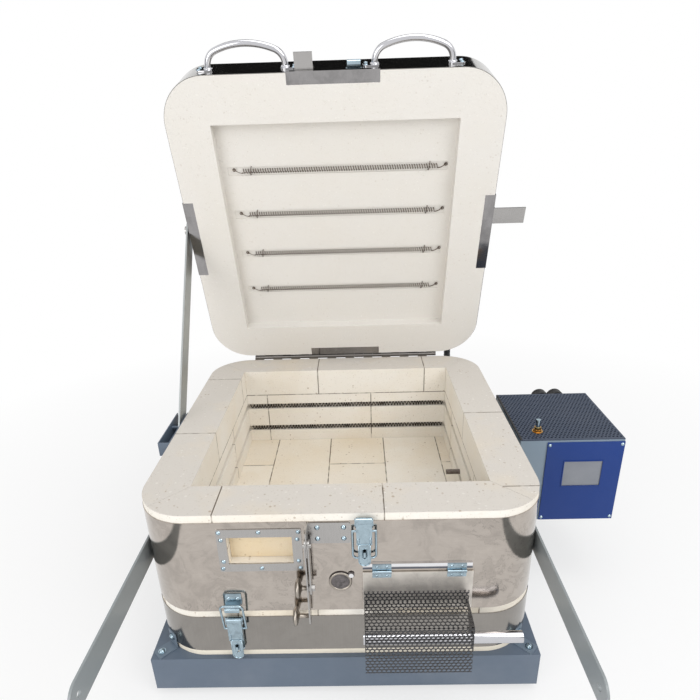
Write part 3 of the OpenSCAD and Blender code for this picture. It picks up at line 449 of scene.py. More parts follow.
@effect("painted reflection swirls", Vector=None, Scale=12.0, Bend=0.12)
def painted_reflection_effect(tree, given):
    """Swirls that a polished sheet mirrors from the ground: noise bent by noise, with
    thin veins where it turns."""
    bend = put(tree, "ShaderNodeTexNoise", Vector=given["Vector"], Scale=times(tree, given["Scale"], 0.6), Detail=2.0)
    centred = vector(tree, "SUBTRACT", bend.outputs["Color"], n1=(0.5, 0.5, 0.5))
    pushed = vector(tree, "SCALE", centred, Scale=given["Bend"])
    moved = vector(tree, "ADD", given["Vector"], n1=pushed)
    cloud = noise(tree, moved, given["Scale"], 6.0, 0.66)
    fold = sums(tree, "ABSOLUTE", minus(tree, cloud, 0.5))
    where = noise(tree, given["Vector"], 9.0, 1.0)
    reflection_veins = times(tree, step(tree, fold, 0.0, 0.012, 1.0, 0.0), step(tree, where, 0.45, 0.6))
    return {"Cloud": cloud, "Veins": reflection_veins}


@effect("brick courses", Vector=None, Wide=0.1143, Long=0.2286, Start=0.0, First=0.0, Shift=0.1143)
def courses_effect(tree, given):
    """A number that is the same all over one brick and differs from brick to brick, and
    the joints round each brick. Bricks of Long by Wide lie in columns along Y, and every
    second column starts Shift later."""
    x, y, _ = apart(tree, given["Vector"])
    column = sums(tree, "DIVIDE", minus(tree, x, given["Start"]), given["Wide"])
    whole = sums(tree, "FLOOR", column)
    odd = sums(tree, "PINGPONG", whole, 1.0)
    along = plus(tree, minus(tree, y, given["First"]), times(tree, odd, given["Shift"]))
    row = sums(tree, "DIVIDE", along, given["Long"])
    mark = put(tree, "ShaderNodeCombineXYZ", n0=whole, n1=sums(tree, "FLOOR", row), n2=0.0)
    pick = put(tree, "ShaderNodeTexWhiteNoise", {"noise_dimensions": "3D"}, Vector=mark.outputs[0])
    across = times(tree, sums(tree, "PINGPONG", column, 0.5), given["Wide"])
    down = times(tree, sums(tree, "PINGPONG", row, 0.5), given["Long"])
    near = sums(tree, "MINIMUM", across, down)
    return {"Brick": pick.outputs[0], "Joints": step(tree, near, 0.0006, 0.0014, 1.0, 0.0)}


@effect("wall joints", Along=0.0, Height=0.0, Course=0.0, Upper_1=0.0, Upper_2=0.0, Lower_1=0.0, Lower_2=0.0)
def joint_effect(tree, given):
    """The joints of one wall: two upright ones above the course line and two below it,
    and the course line itself, each a soft dark line where the wall's own length or
    height comes near the joint's place."""

    def line(value, at, inside, outside):
        return step(tree, sums(tree, "ABSOLUTE", minus(tree, value, at)), inside, outside, 1.0, 0.0)

    def pair(row):
        return sums(tree, "MAXIMUM", *(line(given["Along"], given[f"{row} {n}"], 0.0005, 0.0013) for n in (1, 2)))

    above = sums(tree, "GREATER_THAN", given["Height"], given["Course"])
    upper, lower = times(tree, pair("Upper"), above), times(tree, pair("Lower"), minus(tree, 1.0, above))
    level = line(given["Height"], given["Course"], 0.0004, 0.0011)
    return {"Joints": sums(tree, "MAXIMUM", level, sums(tree, "MAXIMUM", upper, lower))}


def new_finish(name, color, rough, metal=0.0, **fixed):
    """A material with its shader and object coordinates; fixed values go on the shader's own sockets."""
    made = bpy.data.materials.new(name)
    made.use_nodes = True
    made.diffuse_color = color
    tree = made.node_tree
    shader = tree.nodes["Principled BSDF"]
    for key, value in dict(Base_Color=color, Roughness=rough, Metallic=metal, **fixed).items():
        shader.inputs[key.replace("_", " ")].default_value = value
    return made, tree, shader, tree.nodes.new("ShaderNodeTexCoord").outputs["Object"]


def feed(tree, shader, color, rough, relief, height, strength):
    """Links a colour, a roughness where there is one, and a relief to the shader."""
    tree.links.new(color, shader.inputs["Base Color"])
    if rough is not None:
        tree.links.new(rough, shader.inputs["Roughness"])
    bump = put(tree, "ShaderNodeBump", Height=relief, Distance=height, Strength=strength)
    tree.links.new(bump.outputs[0], shader.inputs["Normal"])


PORE_BROWN, CRUMB_WHITE, JOINT_BROWN = (0.3, 0.2, 0.11, 1), (0.9, 0.88, 0.83, 1), (0.12, 0.085, 0.055, 1)
COURSE_DROP = 0.055


def brick_finish(name, color, dark, warm, scale=420.0, courses=None, tint=0.5, joints=None, top=None, spots=0.5):
    """Insulating firebrick: cream, full of pores, with crumbs and a slow change of
    tone. Where courses are given each brick has its own tone and dark joints; joints
    draws the lines of one wall, and top is the tone of the dusty upper face."""
    made, tree, shader, place = new_finish(name, color, 0.95, Specular_IOR_Level=0.25)
    grain = apply_effect(tree, grain_effect(), Vector=place, Scale=scale)
    coarse = apply_effect(tree, grain_effect(), Vector=place, Scale=scale * 0.42)
    drift = noise(tree, place, 7.0, 4.0, 0.6)
    parts = apart(tree, place)
    shade = blend(tree, step(tree, drift, 0.4, 0.72, 0.0, tint), color, warm)
    # the rim's upper face gets the greyer top tone, mixed with the warm tone by the slow drift
    if top:
        rim = step(tree, parts[2], RIM - 0.0012, RIM - 0.0004)
        top_tone = blend(tree, step(tree, drift, 0.52, 0.72, 0.0, 0.4), top, warm)
        shade = blend(tree, rim, shade, top_tone)
    lines = None
    if courses:
        laid = apply_effect(tree, courses_effect(), Vector=place, **courses)
        shade = blend(tree, step(tree, laid["Brick"], 0.1, 1.0, 0.0, 0.55), shade, warm)
        lines = laid["Joints"]
    if joints:
        along, places = joints
        names = ("Upper_1", "Upper_2", "Lower_1", "Lower_2")
        values = {label: float(MIDDLE[along]) + p / 1000 for label, p in zip(names, places)}
        lines = apply_effect(tree, joint_effect(), Along=parts[along], Height=parts[2],
                             Course=float(RIM) - COURSE_DROP, **values)["Joints"]
    shade = over(tree, shade, grain["Grain"], 0.12, dark)
    shade = over(tree, shade, grain["Pits"], 0.28, dark)
    rare = step(tree, noise(tree, place, 30.0, 1.0), 0.5, 0.62, 0.0, spots)
    shade = over(tree, shade, coarse["Pits"], rare, PORE_BROWN)
    shade = over(tree, shade, coarse["Crumbs"], 0.3, CRUMB_WHITE)
    if lines is not None:
        broken = step(tree, noise(tree, place, 60.0, 3.0), 0.36, 0.5, 0.25, 0.85)
        shade = over(tree, shade, lines, broken, JOINT_BROWN)
    relief = plus(tree, grain["Relief"], times(tree, coarse["Relief"], 1.2))
    feed(tree, shader, shade, None, relief, 0.0006, 0.45)
    return made


def steel_finish(name, color, rough, stretch=(60.0, 60.0, 2200.0), painted_reflection=0.0, relief=0.15, spread=0.08, reflection_veins=0.0,
                 size=26.0, bend=0.11):
    """Stainless or plated sheet: brushed lines, soft smudges and, where it is polished,
    the mottled swirls of what it mirrors."""
    made, tree, shader, place = new_finish(name, color, rough, 1.0)
    smudge = noise(tree, place, 9.0, 4.0, 0.6)
    shade = blend(tree, step(tree, smudge, 0.3, 0.75, 0.0, 0.35), color, dim(color, 0.72))
    # painted reflection: lighter and darker copies of the colour laid in swirls, with dark veins, stand for what the
    # sheet mirrors
    if painted_reflection:
        reflection_pattern = apply_effect(tree, painted_reflection_effect(), Vector=place, Scale=size, Bend=bend)
        deep = dim(color, 0.55)
        shade = over(tree, shade, step(tree, reflection_pattern["Cloud"], 0.42, 0.7), painted_reflection, dim(color, 1.32))
        shade = over(tree, shade, step(tree, reflection_pattern["Cloud"], 0.5, 0.28), painted_reflection * 0.8, deep)
        shade = over(tree, shade, reflection_pattern["Veins"], reflection_veins, deep)
    lines = apply_effect(tree, brushed_effect(), Vector=place, Stretch=stretch)["Lines"]
    shade = blend(tree, step(tree, lines, 0.4, 0.75, 0.0, 0.16), shade, dim(color, 0.6))
    level = plus(tree, rough - spread / 2, times(tree, smudge, spread))
    height = plus(tree, times(tree, noise(tree, place, 14.0, 1.0), 6.0), times(tree, lines, 0.12))
    feed(tree, shader, shade, level, height, 0.0005, relief)
    return made


def header_finish():
    """The polished header bar of the bead door: a long dark streak between two bright
    ones, as a folded mirror strip shows, drawn by height over the bar."""
    silver = (0.8, 0.8, 0.82, 1)
    made, tree, shader, place = new_finish("header steel", silver, 0.1, 1.0)
    low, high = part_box("door_header")
    wave = noise(tree, place, 22.0, 2.0)
    rise = step(tree, apart(tree, place)[2], float(low.z), float(high.z))
    rise = plus(tree, rise, times(tree, minus(tree, wave, 0.5), 0.16))
    # painted reflection: a dark blue-grey band across the bar stands for what the folded strip mirrors
    painted_reflection_band = times(tree, step(tree, rise, 0.36, 0.48), step(tree, rise, 0.8, 0.72))
    feed(tree, shader, over(tree, silver, painted_reflection_band, 0.88, paint(48, 52, 68)), None, wave, 0.0004, 0.2)
    return made


def coat_finish(name, color, rough, peel=0.12, dust=0.2, gloss=0.0, mirror=0.5):
    """Painted sheet: a faint orange peel, soft dust and rubbed places."""
    made, tree, shader, place = new_finish(
        name, color, rough, Specular_IOR_Level=mirror, Coat_Weight=gloss, Coat_Roughness=0.15)
    cloud = noise(tree, place, 11.0, 5.0, 0.65)
    shade = blend(tree, step(tree, cloud, 0.45, 0.8, 0.0, dust), color, dim(color, 0.65, 0.217))
    shade = blend(tree, step(tree, cloud, 0.45, 0.2, 0.0, 0.3), shade, dim(color, 0.75))
    level = plus(tree, rough - 0.06, times(tree, cloud, 0.14))
    feed(tree, shader, shade, level, noise(tree, place, 900.0, 2.0), 0.0003, peel)
    return made


def wire_finish(name, color, rough, metal=0.6):
    """Oxidised heating wire or cast metal: dull, uneven and speckled."""
    made, tree, shader, place = new_finish(name, color, rough, metal)
    speckle = noise(tree, place, 260.0, 4.0, 0.7)
    shade = blend(tree, step(tree, speckle, 0.4, 0.7), color, dim(color, 1.9, 0.02))
    feed(tree, shader, shade, None, speckle, 0.0004, 0.4)
    return made


def make_finishes(colors):
    """Every finish of the kiln by the record's slot names, and a few for single nodes."""
    brick, dark, warm = colors.brick[:], paint(152, 138, 120), paint(228, 212, 184)
    wall = dict(color=brick, dark=dark, warm=warm, top=paint(212, 207, 200), tint=0.35)
    even, rolled = (300.0, 300.0, 300.0), (900.0, 60.0, 60.0)
    return {
        "tray_paint": coat_finish("tray paint", colors.tray[:], 0.42),
        "clip_paint": coat_finish("clip paint", paint(104, 118, 132), 0.4),
        "case_paint": coat_finish("case paint", paint(126, 143, 158), 0.45),
        "box_paint": coat_finish("cover paint", paint(56, 66, 84), 0.5, dust=0.1, mirror=0.35),
        "blue_paint": coat_finish("blue face film", colors.face[:], 0.4, peel=0.05, dust=0.03, gloss=0.05, mirror=0.3),
        "feet_rubber": coat_finish("foot rubber", paint(34, 34, 36), 0.8, dust=0.4, mirror=0.3),
        "arm_steel": coat_finish("arm grey", paint(138, 144, 146), 0.36, dust=0.12, gloss=0.2),
        "board": coat_finish("base board", paint(236, 228, 212), 0.95, peel=0.5, dust=0.1, mirror=0.2),
        "black_plastic": coat_finish("black plastic", paint(18, 18, 20), 0.5, dust=0.1),
        "grey_plastic": coat_finish("screen glass", paint(126, 130, 138), 0.22, peel=0.02, dust=0.35, gloss=0.2),
        "green_board": coat_finish("circuit board", paint(40, 92, 60), 0.5),
        "conduit_black": coat_finish("conduit black", paint(26, 26, 28), 0.6, dust=0.2),
        # the polished steels below carry painted reflection swirls in their colour
        "stainless": steel_finish("jacket steel", colors.steel[:], 0.1, painted_reflection=0.42, reflection_veins=0.75, relief=0.35),
        "base_steel": steel_finish("base jacket steel", paint(150, 146, 141), 0.14, (900.0, 900.0, 12.0), painted_reflection=0.15,
                                   relief=0.2),
        "lid_steel": steel_finish("lid jacket steel", paint(150, 148, 144), 0.12, painted_reflection=0.15, relief=0.2),
        "side_steel": steel_finish("strap steel", paint(176, 180, 180), 0.36, (30.0, 1600.0, 1600.0), spread=0.12),
        "clip_steel": steel_finish("clip steel", paint(150, 148, 148), 0.12, rolled, painted_reflection=1.0, size=9.0, bend=0.05,
                                   relief=0.3),
        "door_steel": steel_finish("door steel", paint(220, 214, 206), 0.32, painted_reflection=0.5, reflection_veins=0.3, relief=0.3),
        "guard_metal": steel_finish("guard sheet", paint(92, 92, 94), 0.34, (400.0, 400.0, 400.0), spread=0.14),
        "header_steel": header_finish(),
        "hinge_steel": steel_finish("hinge steel", paint(128, 124, 120), 0.3, spread=0.12),
        "mirror_steel": steel_finish("polished steel", paint(206, 206, 210), 0.08, relief=0.1),
        "zinc": steel_finish("bright zinc", paint(160, 178, 188), 0.14, even, painted_reflection=0.75, spread=0.14, size=60.0,
                             bend=0.03),
        "alu": steel_finish("satin aluminium", paint(180, 178, 176), 0.26, rolled, spread=0.12),
        "brass": steel_finish("brass", paint(190, 152, 92), 0.2, even),
        "nickel": steel_finish("knob nickel", paint(172, 164, 154), 0.32, even, spread=0.14),
        "brick": brick_finish("fire brick", brick, dark, warm, tint=0.35),
        "front_brick": brick_finish("front wall brick", joints=(0, (-167, 60, -60, 200)), **wall),
        "back_brick": brick_finish("back wall brick", joints=(0, (-57.7, 166.8, 53.7, -168.8)), **wall),
        "left_brick": brick_finish("left wall brick", joints=(1, (174, -55, 60, -150)), **wall),
        "right_brick": brick_finish("right wall brick", joints=(1, (0.5, -226, -110, 118)), **wall),
        "floor_brick": brick_finish("floor brick", brick, dark, warm, courses=dict(
            Start=float(MIDDLE[0]) - 0.1495, First=float(MIDDLE[1]) - 0.0073)),
        "plug_brick": brick_finish("plug brick", paint(218, 206, 184), paint(190, 150, 96), paint(228, 200, 148)),
        "fibre": brick_finish("lid board", colors.lid[:], paint(196, 186, 170), paint(224, 217, 204), scale=560.0,
                              tint=0.2, spots=0.16),
        "lid_coil": wire_finish("lid heating wire", paint(82, 70, 60), 0.5, 0.2),
        "wall_coil": wire_finish("wall heating wire", paint(50, 40, 34), 0.5, 0.2),
        "thermo": wire_finish("thermocouple sheath", paint(96, 88, 84), 0.6),
        "cover_cast": wire_finish("peephole cover", paint(84, 80, 80), 0.5, 0.5),
    }


NODE_FINISH = {
    "floor_bricks": "floor_brick", "wall_front": "front_brick", "wall_back": "back_brick", "wall_left": "left_brick",
    "wall_right": "right_brick", "box_case": "case_paint", "side_arms": "arm_steel", "stay_arm": "side_steel",
    "ring_hinge_leaf": "hinge_steel", "lid_hinge_leaf": "hinge_steel", "peep_cover": "cover_cast",
    "base_jacket": "base_steel", "lid_jacket": "lid_steel", "port_frame": "alu",
    "box_screws": "zinc", "ring_fasteners": "zinc",
    "corner_clips": "clip_paint", "switch_plunger": "zinc", "door_header": "header_steel",
    "door_panel": "door_steel", "lid_clips": "clip_steel",
}


def dress(piece, name):
    """Gives a piece one finish on all its faces."""
    piece.data.materials.clear()
    piece.data.materials.append(finishes[name])


def add(name, shape, finish, body, *replaced, slot=None, smooth=True, tidy=True):
    """Makes a piece from a shape in kiln millimetres, finishes it and lets it ride on a
    body. It stands in for the nodes that are named last."""
    points, faces = shape
    piece = mesh_piece(name, spot(points), faces, smooth)
    dress(piece, finish)
    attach(piece, body)
    if replaced:
        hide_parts(*replaced)
    if tidy:
        outward(piece)
    return piece


def stand(thing, right, up, back, place):
    """Puts a camera or a lamp at a place, with its own X, Y and Z along three directions."""
    columns = [[*map(float, axis), 0.0] for axis in (right, up, back)] + [[*map(float, place), 1.0]]
    thing.matrix_world = columns
    bpy.context.scene.collection.objects.link(thing)


def sharp(piece):
    """Shades smooth faces with an edge where they meet at more than 35 degrees."""
    piece.data.set_sharp_from_angle(angle=math.radians(35))


finishes = {}


# What a user can change


class KilnColours(bpy.types.PropertyGroup):
    """Colours of the main finishes."""

    brick: bpy.props.FloatVectorProperty(
        name="Brick", description="Colour of the fire brick", subtype="COLOR", size=4, min=0, max=1,
        default=paint(242, 238, 230))
    lid: bpy.props.FloatVectorProperty(
        name="Lid board", description="Colour of the lid's insulating board", subtype="COLOR", size=4, min=0, max=1,
        default=paint(228, 225, 220))
    steel: bpy.props.FloatVectorProperty(
        name="Jacket steel", description="Colour that the polished jackets mirror", subtype="COLOR", size=4,
        min=0, max=1,
        default=paint(182, 174, 166))
    tray: bpy.props.FloatVectorProperty(
        name="Tray paint", description="Colour of the tray and the rear covers", subtype="COLOR", size=4, min=0, max=1,
        default=paint(90, 103, 119))
    face: bpy.props.FloatVectorProperty(
        name="Controller face", description="Colour of the controller's front", subtype="COLOR", size=4, min=0, max=1,
        default=paint(20, 56, 126))


class KilnSizes(bpy.types.PropertyGroup):
    """Sizes of the fine parts, in millimetres."""

    coil_pitch: bpy.props.FloatProperty(
        name="Coil pitch", description="Distance between the turns of a heating coil, in mm",
        default=4.3, min=2.5, max=8)
    coil_wire: bpy.props.FloatProperty(
        name="Coil wire", description="Thickness of the heating wire, in mm",
        default=1.6, min=1, max=2.4)
    wall_pitch: bpy.props.FloatProperty(
        name="Wall coil pitch", description="Distance between the drawn-out turns of the wall coils, in mm",
        default=6.3, min=3, max=10)
    guard_pitch: bpy.props.FloatProperty(
        name="Guard hole pitch", description="Distance between the holes of the bead guard, in mm",
        default=6.35, min=5, max=12)
    guard_hole: bpy.props.FloatProperty(
        name="Guard hole", description="Width of the holes of the bead guard, in mm",
        default=5.3, min=3, max=6)
    cover_pitch: bpy.props.FloatProperty(
        name="Cover hole pitch", description="Distance between the holes of the controller's cover, in mm",
        default=6.4, min=5, max=12)
    cover_hole: bpy.props.FloatProperty(
        name="Cover hole", description="Width of the holes of the controller's cover, in mm",
        default=3.8, min=2, max=6)
    rib_pitch: bpy.props.FloatProperty(
        name="Conduit rib pitch", description="Distance between the ribs of the conduit, in mm",
        default=4.0, min=2, max=8)


# Where the fine parts sit, in kiln millimetres


COIL_ROWS, BED_HALF = (-121.5, -40.5, 40.5, 121.5), np.array([194.2, 7.6])
WALL_COIL_DROPS, WALL_COIL_Y = (83.4, 135.4), 217.6
HANDLES_X = (-138.0, 128.0)
LATCHES = (("top_lever_ribs", "upper_lever", 33.0, -7.0), ("low_lever_ribs", "lower_lever", -154.0, -174.5))
KNOB_X, KNOB_OUT, KNOBS = -45.4, 14.5, ((-111.0, 9.0), (-161.0, 15.0))
SWITCH, SWITCH_CLEAR = np.array([333, -32]), 8.5
TUBE_OUT, TUBE_Z, TUBE_COLLAR = 40.5, -177, 8.4
PEEPHOLE_X, PEEPHOLE_Z = -1, -112.6
BEZEL_FRONT, BEZEL_BACK = -65.0, -63.9
GLAND_HALF = 12.5
CONDUIT_X, CONDUIT_D = 241.0, 16.0
RIB_RINGS, RIBBED_LENGTH = 6, 216
CONDUIT_WAY = np.array([
    [42, -95], [55, -94], [69, -90], [82, -82], [93, -70], [100, -55], [104, -38], [105, -20], [103, -2],
    [99, 15], [93, 31], [86, 45], [73.5, 63.5],
], float)


# Operators, one for each piece or group of like pieces


def smooth_way(points, count):
    """Points evenly spaced along a smooth curve through the given ones: a sum of four
    neighbours with cubic weights that add up to one."""
    points = np.concatenate([2 * points[:1] - points[1:2], points, 2 * points[-1:] - points[-2:-1]])
    t = np.linspace(0, len(points) - 3 - 1e-9, 600)
    i, f = t.astype(int), (t % 1)[:, None]
    a, b, c, d = points[i], points[i + 1], points[i + 2], points[i + 3]
    way = 0.5 * (2 * b + (c - a) * f + (2 * a - 5 * b + 4 * c - d) * f ** 2 + (3 * b - a - 3 * c + d) * f ** 3)
    far = np.concatenate([[0], np.cumsum(np.linalg.norm(np.diff(way, axis=0), axis=1))])
    at = np.linspace(0, far[-1], count)
    return np.stack([np.interp(at, far, way[:, m]) for m in range(way.shape[1])], -1), far[-1]


class KILN_OT_conduit(bpy.types.Operator):
    """Adds the ribbed conduit that carries the lid's wires over the hinge"""

    bl_idname = "kiln.conduit"
    bl_label = "Ribbed conduit"

    def execute(self, context):
        pitch = context.scene.kiln_sizes.rib_pitch
        way, long = smooth_way(CONDUIT_WAY, int(RIB_RINGS * RIBBED_LENGTH / pitch))
        path = np.insert(way + [REAR, 0], 0, CONDUIT_X, 1)
        radius = CONDUIT_D / 2 - 0.65 + 0.6 * np.cos(np.arange(len(way)) / RIB_RINGS * TURN)
        points, faces = tube(path, radius, (1, 0, 0), 16)
        piece = mesh_piece("ribbed_conduit", spot(points), faces)
        outward(piece)
        dress(piece, "conduit_black")
        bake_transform(piece)
        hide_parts("conduit")
        return {"FINISHED"}


class KILN_OT_lid_coils(bpy.types.Operator):
    """Adds the four heating coils of the lid with their hooked ends and wire staples"""

    bl_idname = "kiln.lid_coils"
    bl_label = "Lid heating coils"

    def execute(self, context):
        size = context.scene.kiln_sizes
        z, middle, half, long = LID_UNDER + 20.5, 4, 172.5, 345
        for number, y in enumerate(COIL_ROWS, 1):
            shapes = [spring((middle, y, z), long, 8.6, size.coil_wire, size.coil_pitch)]
            for s in (-1, 1):
                end = np.array([middle + s * half, y, z])
                tail = end + np.array([
                    [-s, 3.6, 0], [s * 2, 3.4, -0.6], [s * 6, 1.8, -1.6], [s * 10, -0.8, -2.0], [s * 13.4, -2.8, -1.0],
                    [s * 14.6, -3.4, 2.5]])
                a = np.linspace(0, TURN, 17)
                eye = end + np.stack([s * (14 + 2.3 * np.cos(a)), 2.3 * np.sin(a) - 3, 0 * a - 1.4], -1)
                staple = end + [-s * 15.5, 0, 0] + np.array([
                    [1.4, -8.5, -0.5], [1, -6.6, -3.6], [0.6, -3.6, -5.2], [0, 0, -5.6], [-0.6, 3.6, -5.2],
                    [-1, 6, -2.4], [-1.2, 6.6, 2]])
                shapes += [tube(smooth_way(tail, 16)[0], size.coil_wire / 2, (0.44, 0.89, 0.1)),
                           tube(eye, 0.85, (0, 0, 1), 6), tube(smooth_way(staple, 18)[0], 0.8, (0.99, 0.12, 0.0), 6)]
            add(f"lid_coil_{number}", on_lid(*shapes), "lid_coil", "lid", *["lid_elements"][number - 1:])
            bed = block((*([0, y] - BED_HALF), z + 1.5), (*([0, y] + BED_HALF), z + 4.7))
            add(f"groove_bed_{number}", on_lid(bed), "fibre", "lid", smooth=False, tidy=False)
        return {"FINISHED"}


class KILN_OT_bow_handles(bpy.types.Operator):
    """Adds the two bent bow handles of the lid with their flattened, riveted feet"""

    bl_idname = "kiln.bow_handles"
    bl_label = "Lid bow handles"

    def execute(self, context):
        reach, z, bar = 36.0, LID_UNDER + 31.0, 5.0
        half, small, bend = 62.0, 24.0, math.radians(68)
        large = (half - small) / math.cos(bend) + small
        foot = reach - small * math.sin(bend) - large * (1 - math.sin(bend))
        # two corner arcs and one shallow arc between them, all tangent
        a, b = np.linspace(0, bend, 12), np.linspace(bend, math.pi - bend, 25)[1:-1]
        side = half - small + small * np.cos(a)
        rise = foot + small * np.sin(a)
        across = np.concatenate([[half, half], side, large * np.cos(b), -side[::-1], [-half, -half]])
        up = np.concatenate([[0.5, foot * 0.6], rise, reach - large + large * np.sin(b), rise[::-1], [foot * 0.6, 0.5]])
        collar = [[0, 0], [bar + 2.2, 0], [bar + 2.0, 0.8], [bar + 0.4, 2.2], [0, 2.2]]
        head = [[0, 0], [3.2, 0], [3.1, 0.7], [2.2, 1.6], [0, 1.9]]
        shapes, screws = [], []
        for middle in HANDLES_X:
            shapes.append(tube(np.stack([middle + across, FRONT - up, z + 0 * up], -1), bar, (0, 0, 1), 20))
            for s in (-1, 1):
                shapes.append(plate((middle + s * (half + 6), z), 26, 24, 6.5, FRONT - 0.1, 2.1))
                shapes.append(turned(collar, (middle + s * half, FRONT - 2, z), (0, -1, 0), 24))
                screws += [turned(head, (middle + s * (half + 14), FRONT - 2, z + off), (0, -1, 0), 16)
                           for off in (-7, 7)]
        sharp(add("bow_handles", on_lid(*shapes), "mirror_steel", "lid", "lid_handles"))
        add("handle_rivets", on_lid(*screws), "zinc", "lid")
        return {"FINISHED"}


class KILN_OT_wall_coils(bpy.types.Operator):
    """Adds the two dark heating coils in the grooves of the back wall"""

    bl_idname = "kiln.wall_coils"
    bl_label = "Wall heating coils"

    def execute(self, context):
        size = context.scene.kiln_sizes
        for number, drop in enumerate(WALL_COIL_DROPS, 1):
            shape = spring((0, WALL_COIL_Y, -drop), 418, 9.0, 2.0, size.wall_pitch, wander=0.22)
            add(f"wall_coil_{number}", shape, "wall_coil", "ring", *["wall_elements"][number - 1:])
        return {"FINISHED"}


class KILN_OT_bead_guard(bpy.types.Operator):
    """Adds the perforated guard of the bead door: a flange, a shelf and a hanging sheet"""

    bl_idname = "kiln.bead_guard"
    bl_label = "Bead door guard"

    def execute(self, context):
        size = context.scene.kiln_sizes
        left, wide, top, drop = 31.0, 146.0, -150.0, 82
        back, front = FRONT - 2.1, FRONT - 50.0

        def sheet(height, up_shift, place):
            flat = pierced(wide, height, size.guard_pitch, size.guard_hole, shift=(0.5, up_shift))
            return thick_sheet(flat, lambda q, t: np.stack([left + q[:, 0], *place(q[:, 1], 0 * q[:, 1] + t)], -1), 1.0)

        flange = sheet(19.5, 0.3, lambda v, t: (back - t, top - 0.5 + v))
        shelf = sheet(back - front, 0.5, lambda v, t: (front + v, top - 1 + t))
        hanging = sheet(drop, 0.55, lambda v, t: (front + 1 - t, top - drop + v))
        profile = np.array([[back, top], [front + 1, top - 1], [front + 1, top - 42], [front + 19.5, top - 43],
                            [back, top - 11]])
        k = np.arange(5)
        n = (k + 1) % 5
        sides = [np.stack([k, n, n + 5, k + 5], -1), np.array([k[::-1], k + 5])]
        cheeks = [(np.concatenate([np.insert(profile, 0, x + more, 1) for more in (0, 1.2)]), sides)
                  for x in (left, left + wide - 1.2)]
        a = np.linspace(0, TURN, 41)
        hole_y, hole_z = FRONT - TUBE_OUT + TUBE_COLLAR * np.cos(a), TUBE_Z + TUBE_COLLAR * np.sin(a)
        collars = [tube(np.stack([x + 0 * a, hole_y, hole_z], -1), 0.9, (1, 0, 0), 6)
                   for x in (left + 0.6, left + wide - 0.6)]
        add("pierced_guard", joined(flange, shelf, hanging, *cheeks, *collars), "guard_metal", "door", "door_guard",
            smooth=False)
        return {"FINISHED"}


class KILN_OT_vent_cover(bpy.types.Operator):
    """Adds the finely pierced cover of the controller"""

    bl_idname = "kiln.vent_cover"
    bl_label = "Pierced controller cover"

    def execute(self, context):
        size = context.scene.kiln_sizes
        low, high = kiln_box("box_cover")
        (x, y, _), (wide, deep, _), top = low, high - low, high[2]
        flat = pierced(wide, deep, size.cover_pitch, size.cover_hole, 0.6, shift=(0.3, 0.35),
                       keep=lambda m: np.linalg.norm(m + [x, y] - SWITCH, axis=1) < SWITCH_CLEAR)
        shape = thick_sheet(flat, lambda q, t: np.insert(q + [x, y], 2, top - 1.5 + t, 1), 1.5)
        add("pierced_cover", shape, "box_paint", "ring", "box_cover", smooth=False)
        # painted shade: a black strip along the cover's left edge stands for the shadowed gap between the box and the
        # kiln
        edge = block((x, y + 1, top - 1.7), (x + 3.4, y + deep - 1, top + 0.25))
        add("painted_shade_strip", edge, "black_plastic", "ring", smooth=False, tidy=False)
        low, high = kiln_box("cable_glands")
        grip = [[0, 7], [15.4, 7], [16.4, 8.5], [16.4, 15], [14.6, 17], [14.6, 23], [15.6, 25], [13.4, 27.6], [0, 27.6]]
        grips = [turned(grip, (middle, low[1], (low[2] + high[2]) / 2), (0, 1, 0), 24)
                 for middle in (low[0] + GLAND_HALF, high[0] - GLAND_HALF)]
        sharp(add("gland_grips", joined(*grips), "black_plastic", "ring"))
        return {"FINISHED"}


class KILN_OT_latch_levers(bpy.types.Operator):
    """Adds the pressed ribs, rims and folds of the two latch levers"""

    bl_idname = "kiln.latch_levers"
    bl_label = "Latch lever pressings"

    def execute(self, context):
        v = np.linspace(-22, -35, 14)
        rib = 2.0 * np.clip(np.minimum(v + 36.5, -21.5 - v) / 5, 0.3, 1)
        a, b = np.linspace(-math.pi, 0, 17), np.linspace(0, TURN, 25)
        rim_u = np.concatenate([[-7.7, -7.7], 7.7 * np.cos(a), [7.7, 7.7]])
        rim_v = np.concatenate([[-36, -50], -62.5 + 7.7 * np.sin(a), [-50, -36]])
        slot_v = -50.5 + 3.4 * np.sin(b) + np.where(np.sin(b) > 0, 5.2, -5.2)
        # across, along and out of the lever, then radius, plane and sides of each bar
        bars = [(s * 8.0, v, 10.9, rib, (1, 0, 0), 10) for s in (-1, 1)]
        bars += [(rim_u, rim_v, 11.0, 0.9, (0, 1, 0), 8), (3.4 * np.cos(b), slot_v, 11.0, 0.6, (0, 1, 0), 6),
                 (np.linspace(-8.6, 8.6, 5), -35.6, 11.2, 1.2, (0, 1, 0), 8)]
        for name, body, x, z in LATCHES:
            shapes = [tube(np.stack(np.broadcast_arrays(x + u, FRONT - w, z + v), -1), *rest)
                      for u, v, w, *rest in bars]
            add(name, joined(*shapes), "zinc", body)
        return {"FINISHED"}


class KILN_OT_vent_knobs(bpy.types.Operator):
    """Adds the two turned knobs of the vent props"""

    bl_idname = "kiln.vent_knobs"
    bl_label = "Vent prop knobs"

    def execute(self, context):
        shank = [[0, 0], [3.1, 0]]
        head = [[3.1, -3.2], [3.9, -1.2], [6.2, -0.2], [9.6, 0.7], [12.3, 1.7], [13.4, 3.0], [13.4, 4.2], [12.7, 5.4],
                [11.0, 6.6], [8.4, 7.6], [4.6, 8.3], [0, 8.5]]
        knobs = [turned(shank + [[r, stem + h] for r, h in head], (KNOB_X, FRONT - KNOB_OUT, z), (-1, 0, 0), 40)
                 for z, stem in KNOBS]
        add("turned_knobs", joined(*knobs), "nickel", "prop", "prop_knobs")
        return {"FINISHED"}


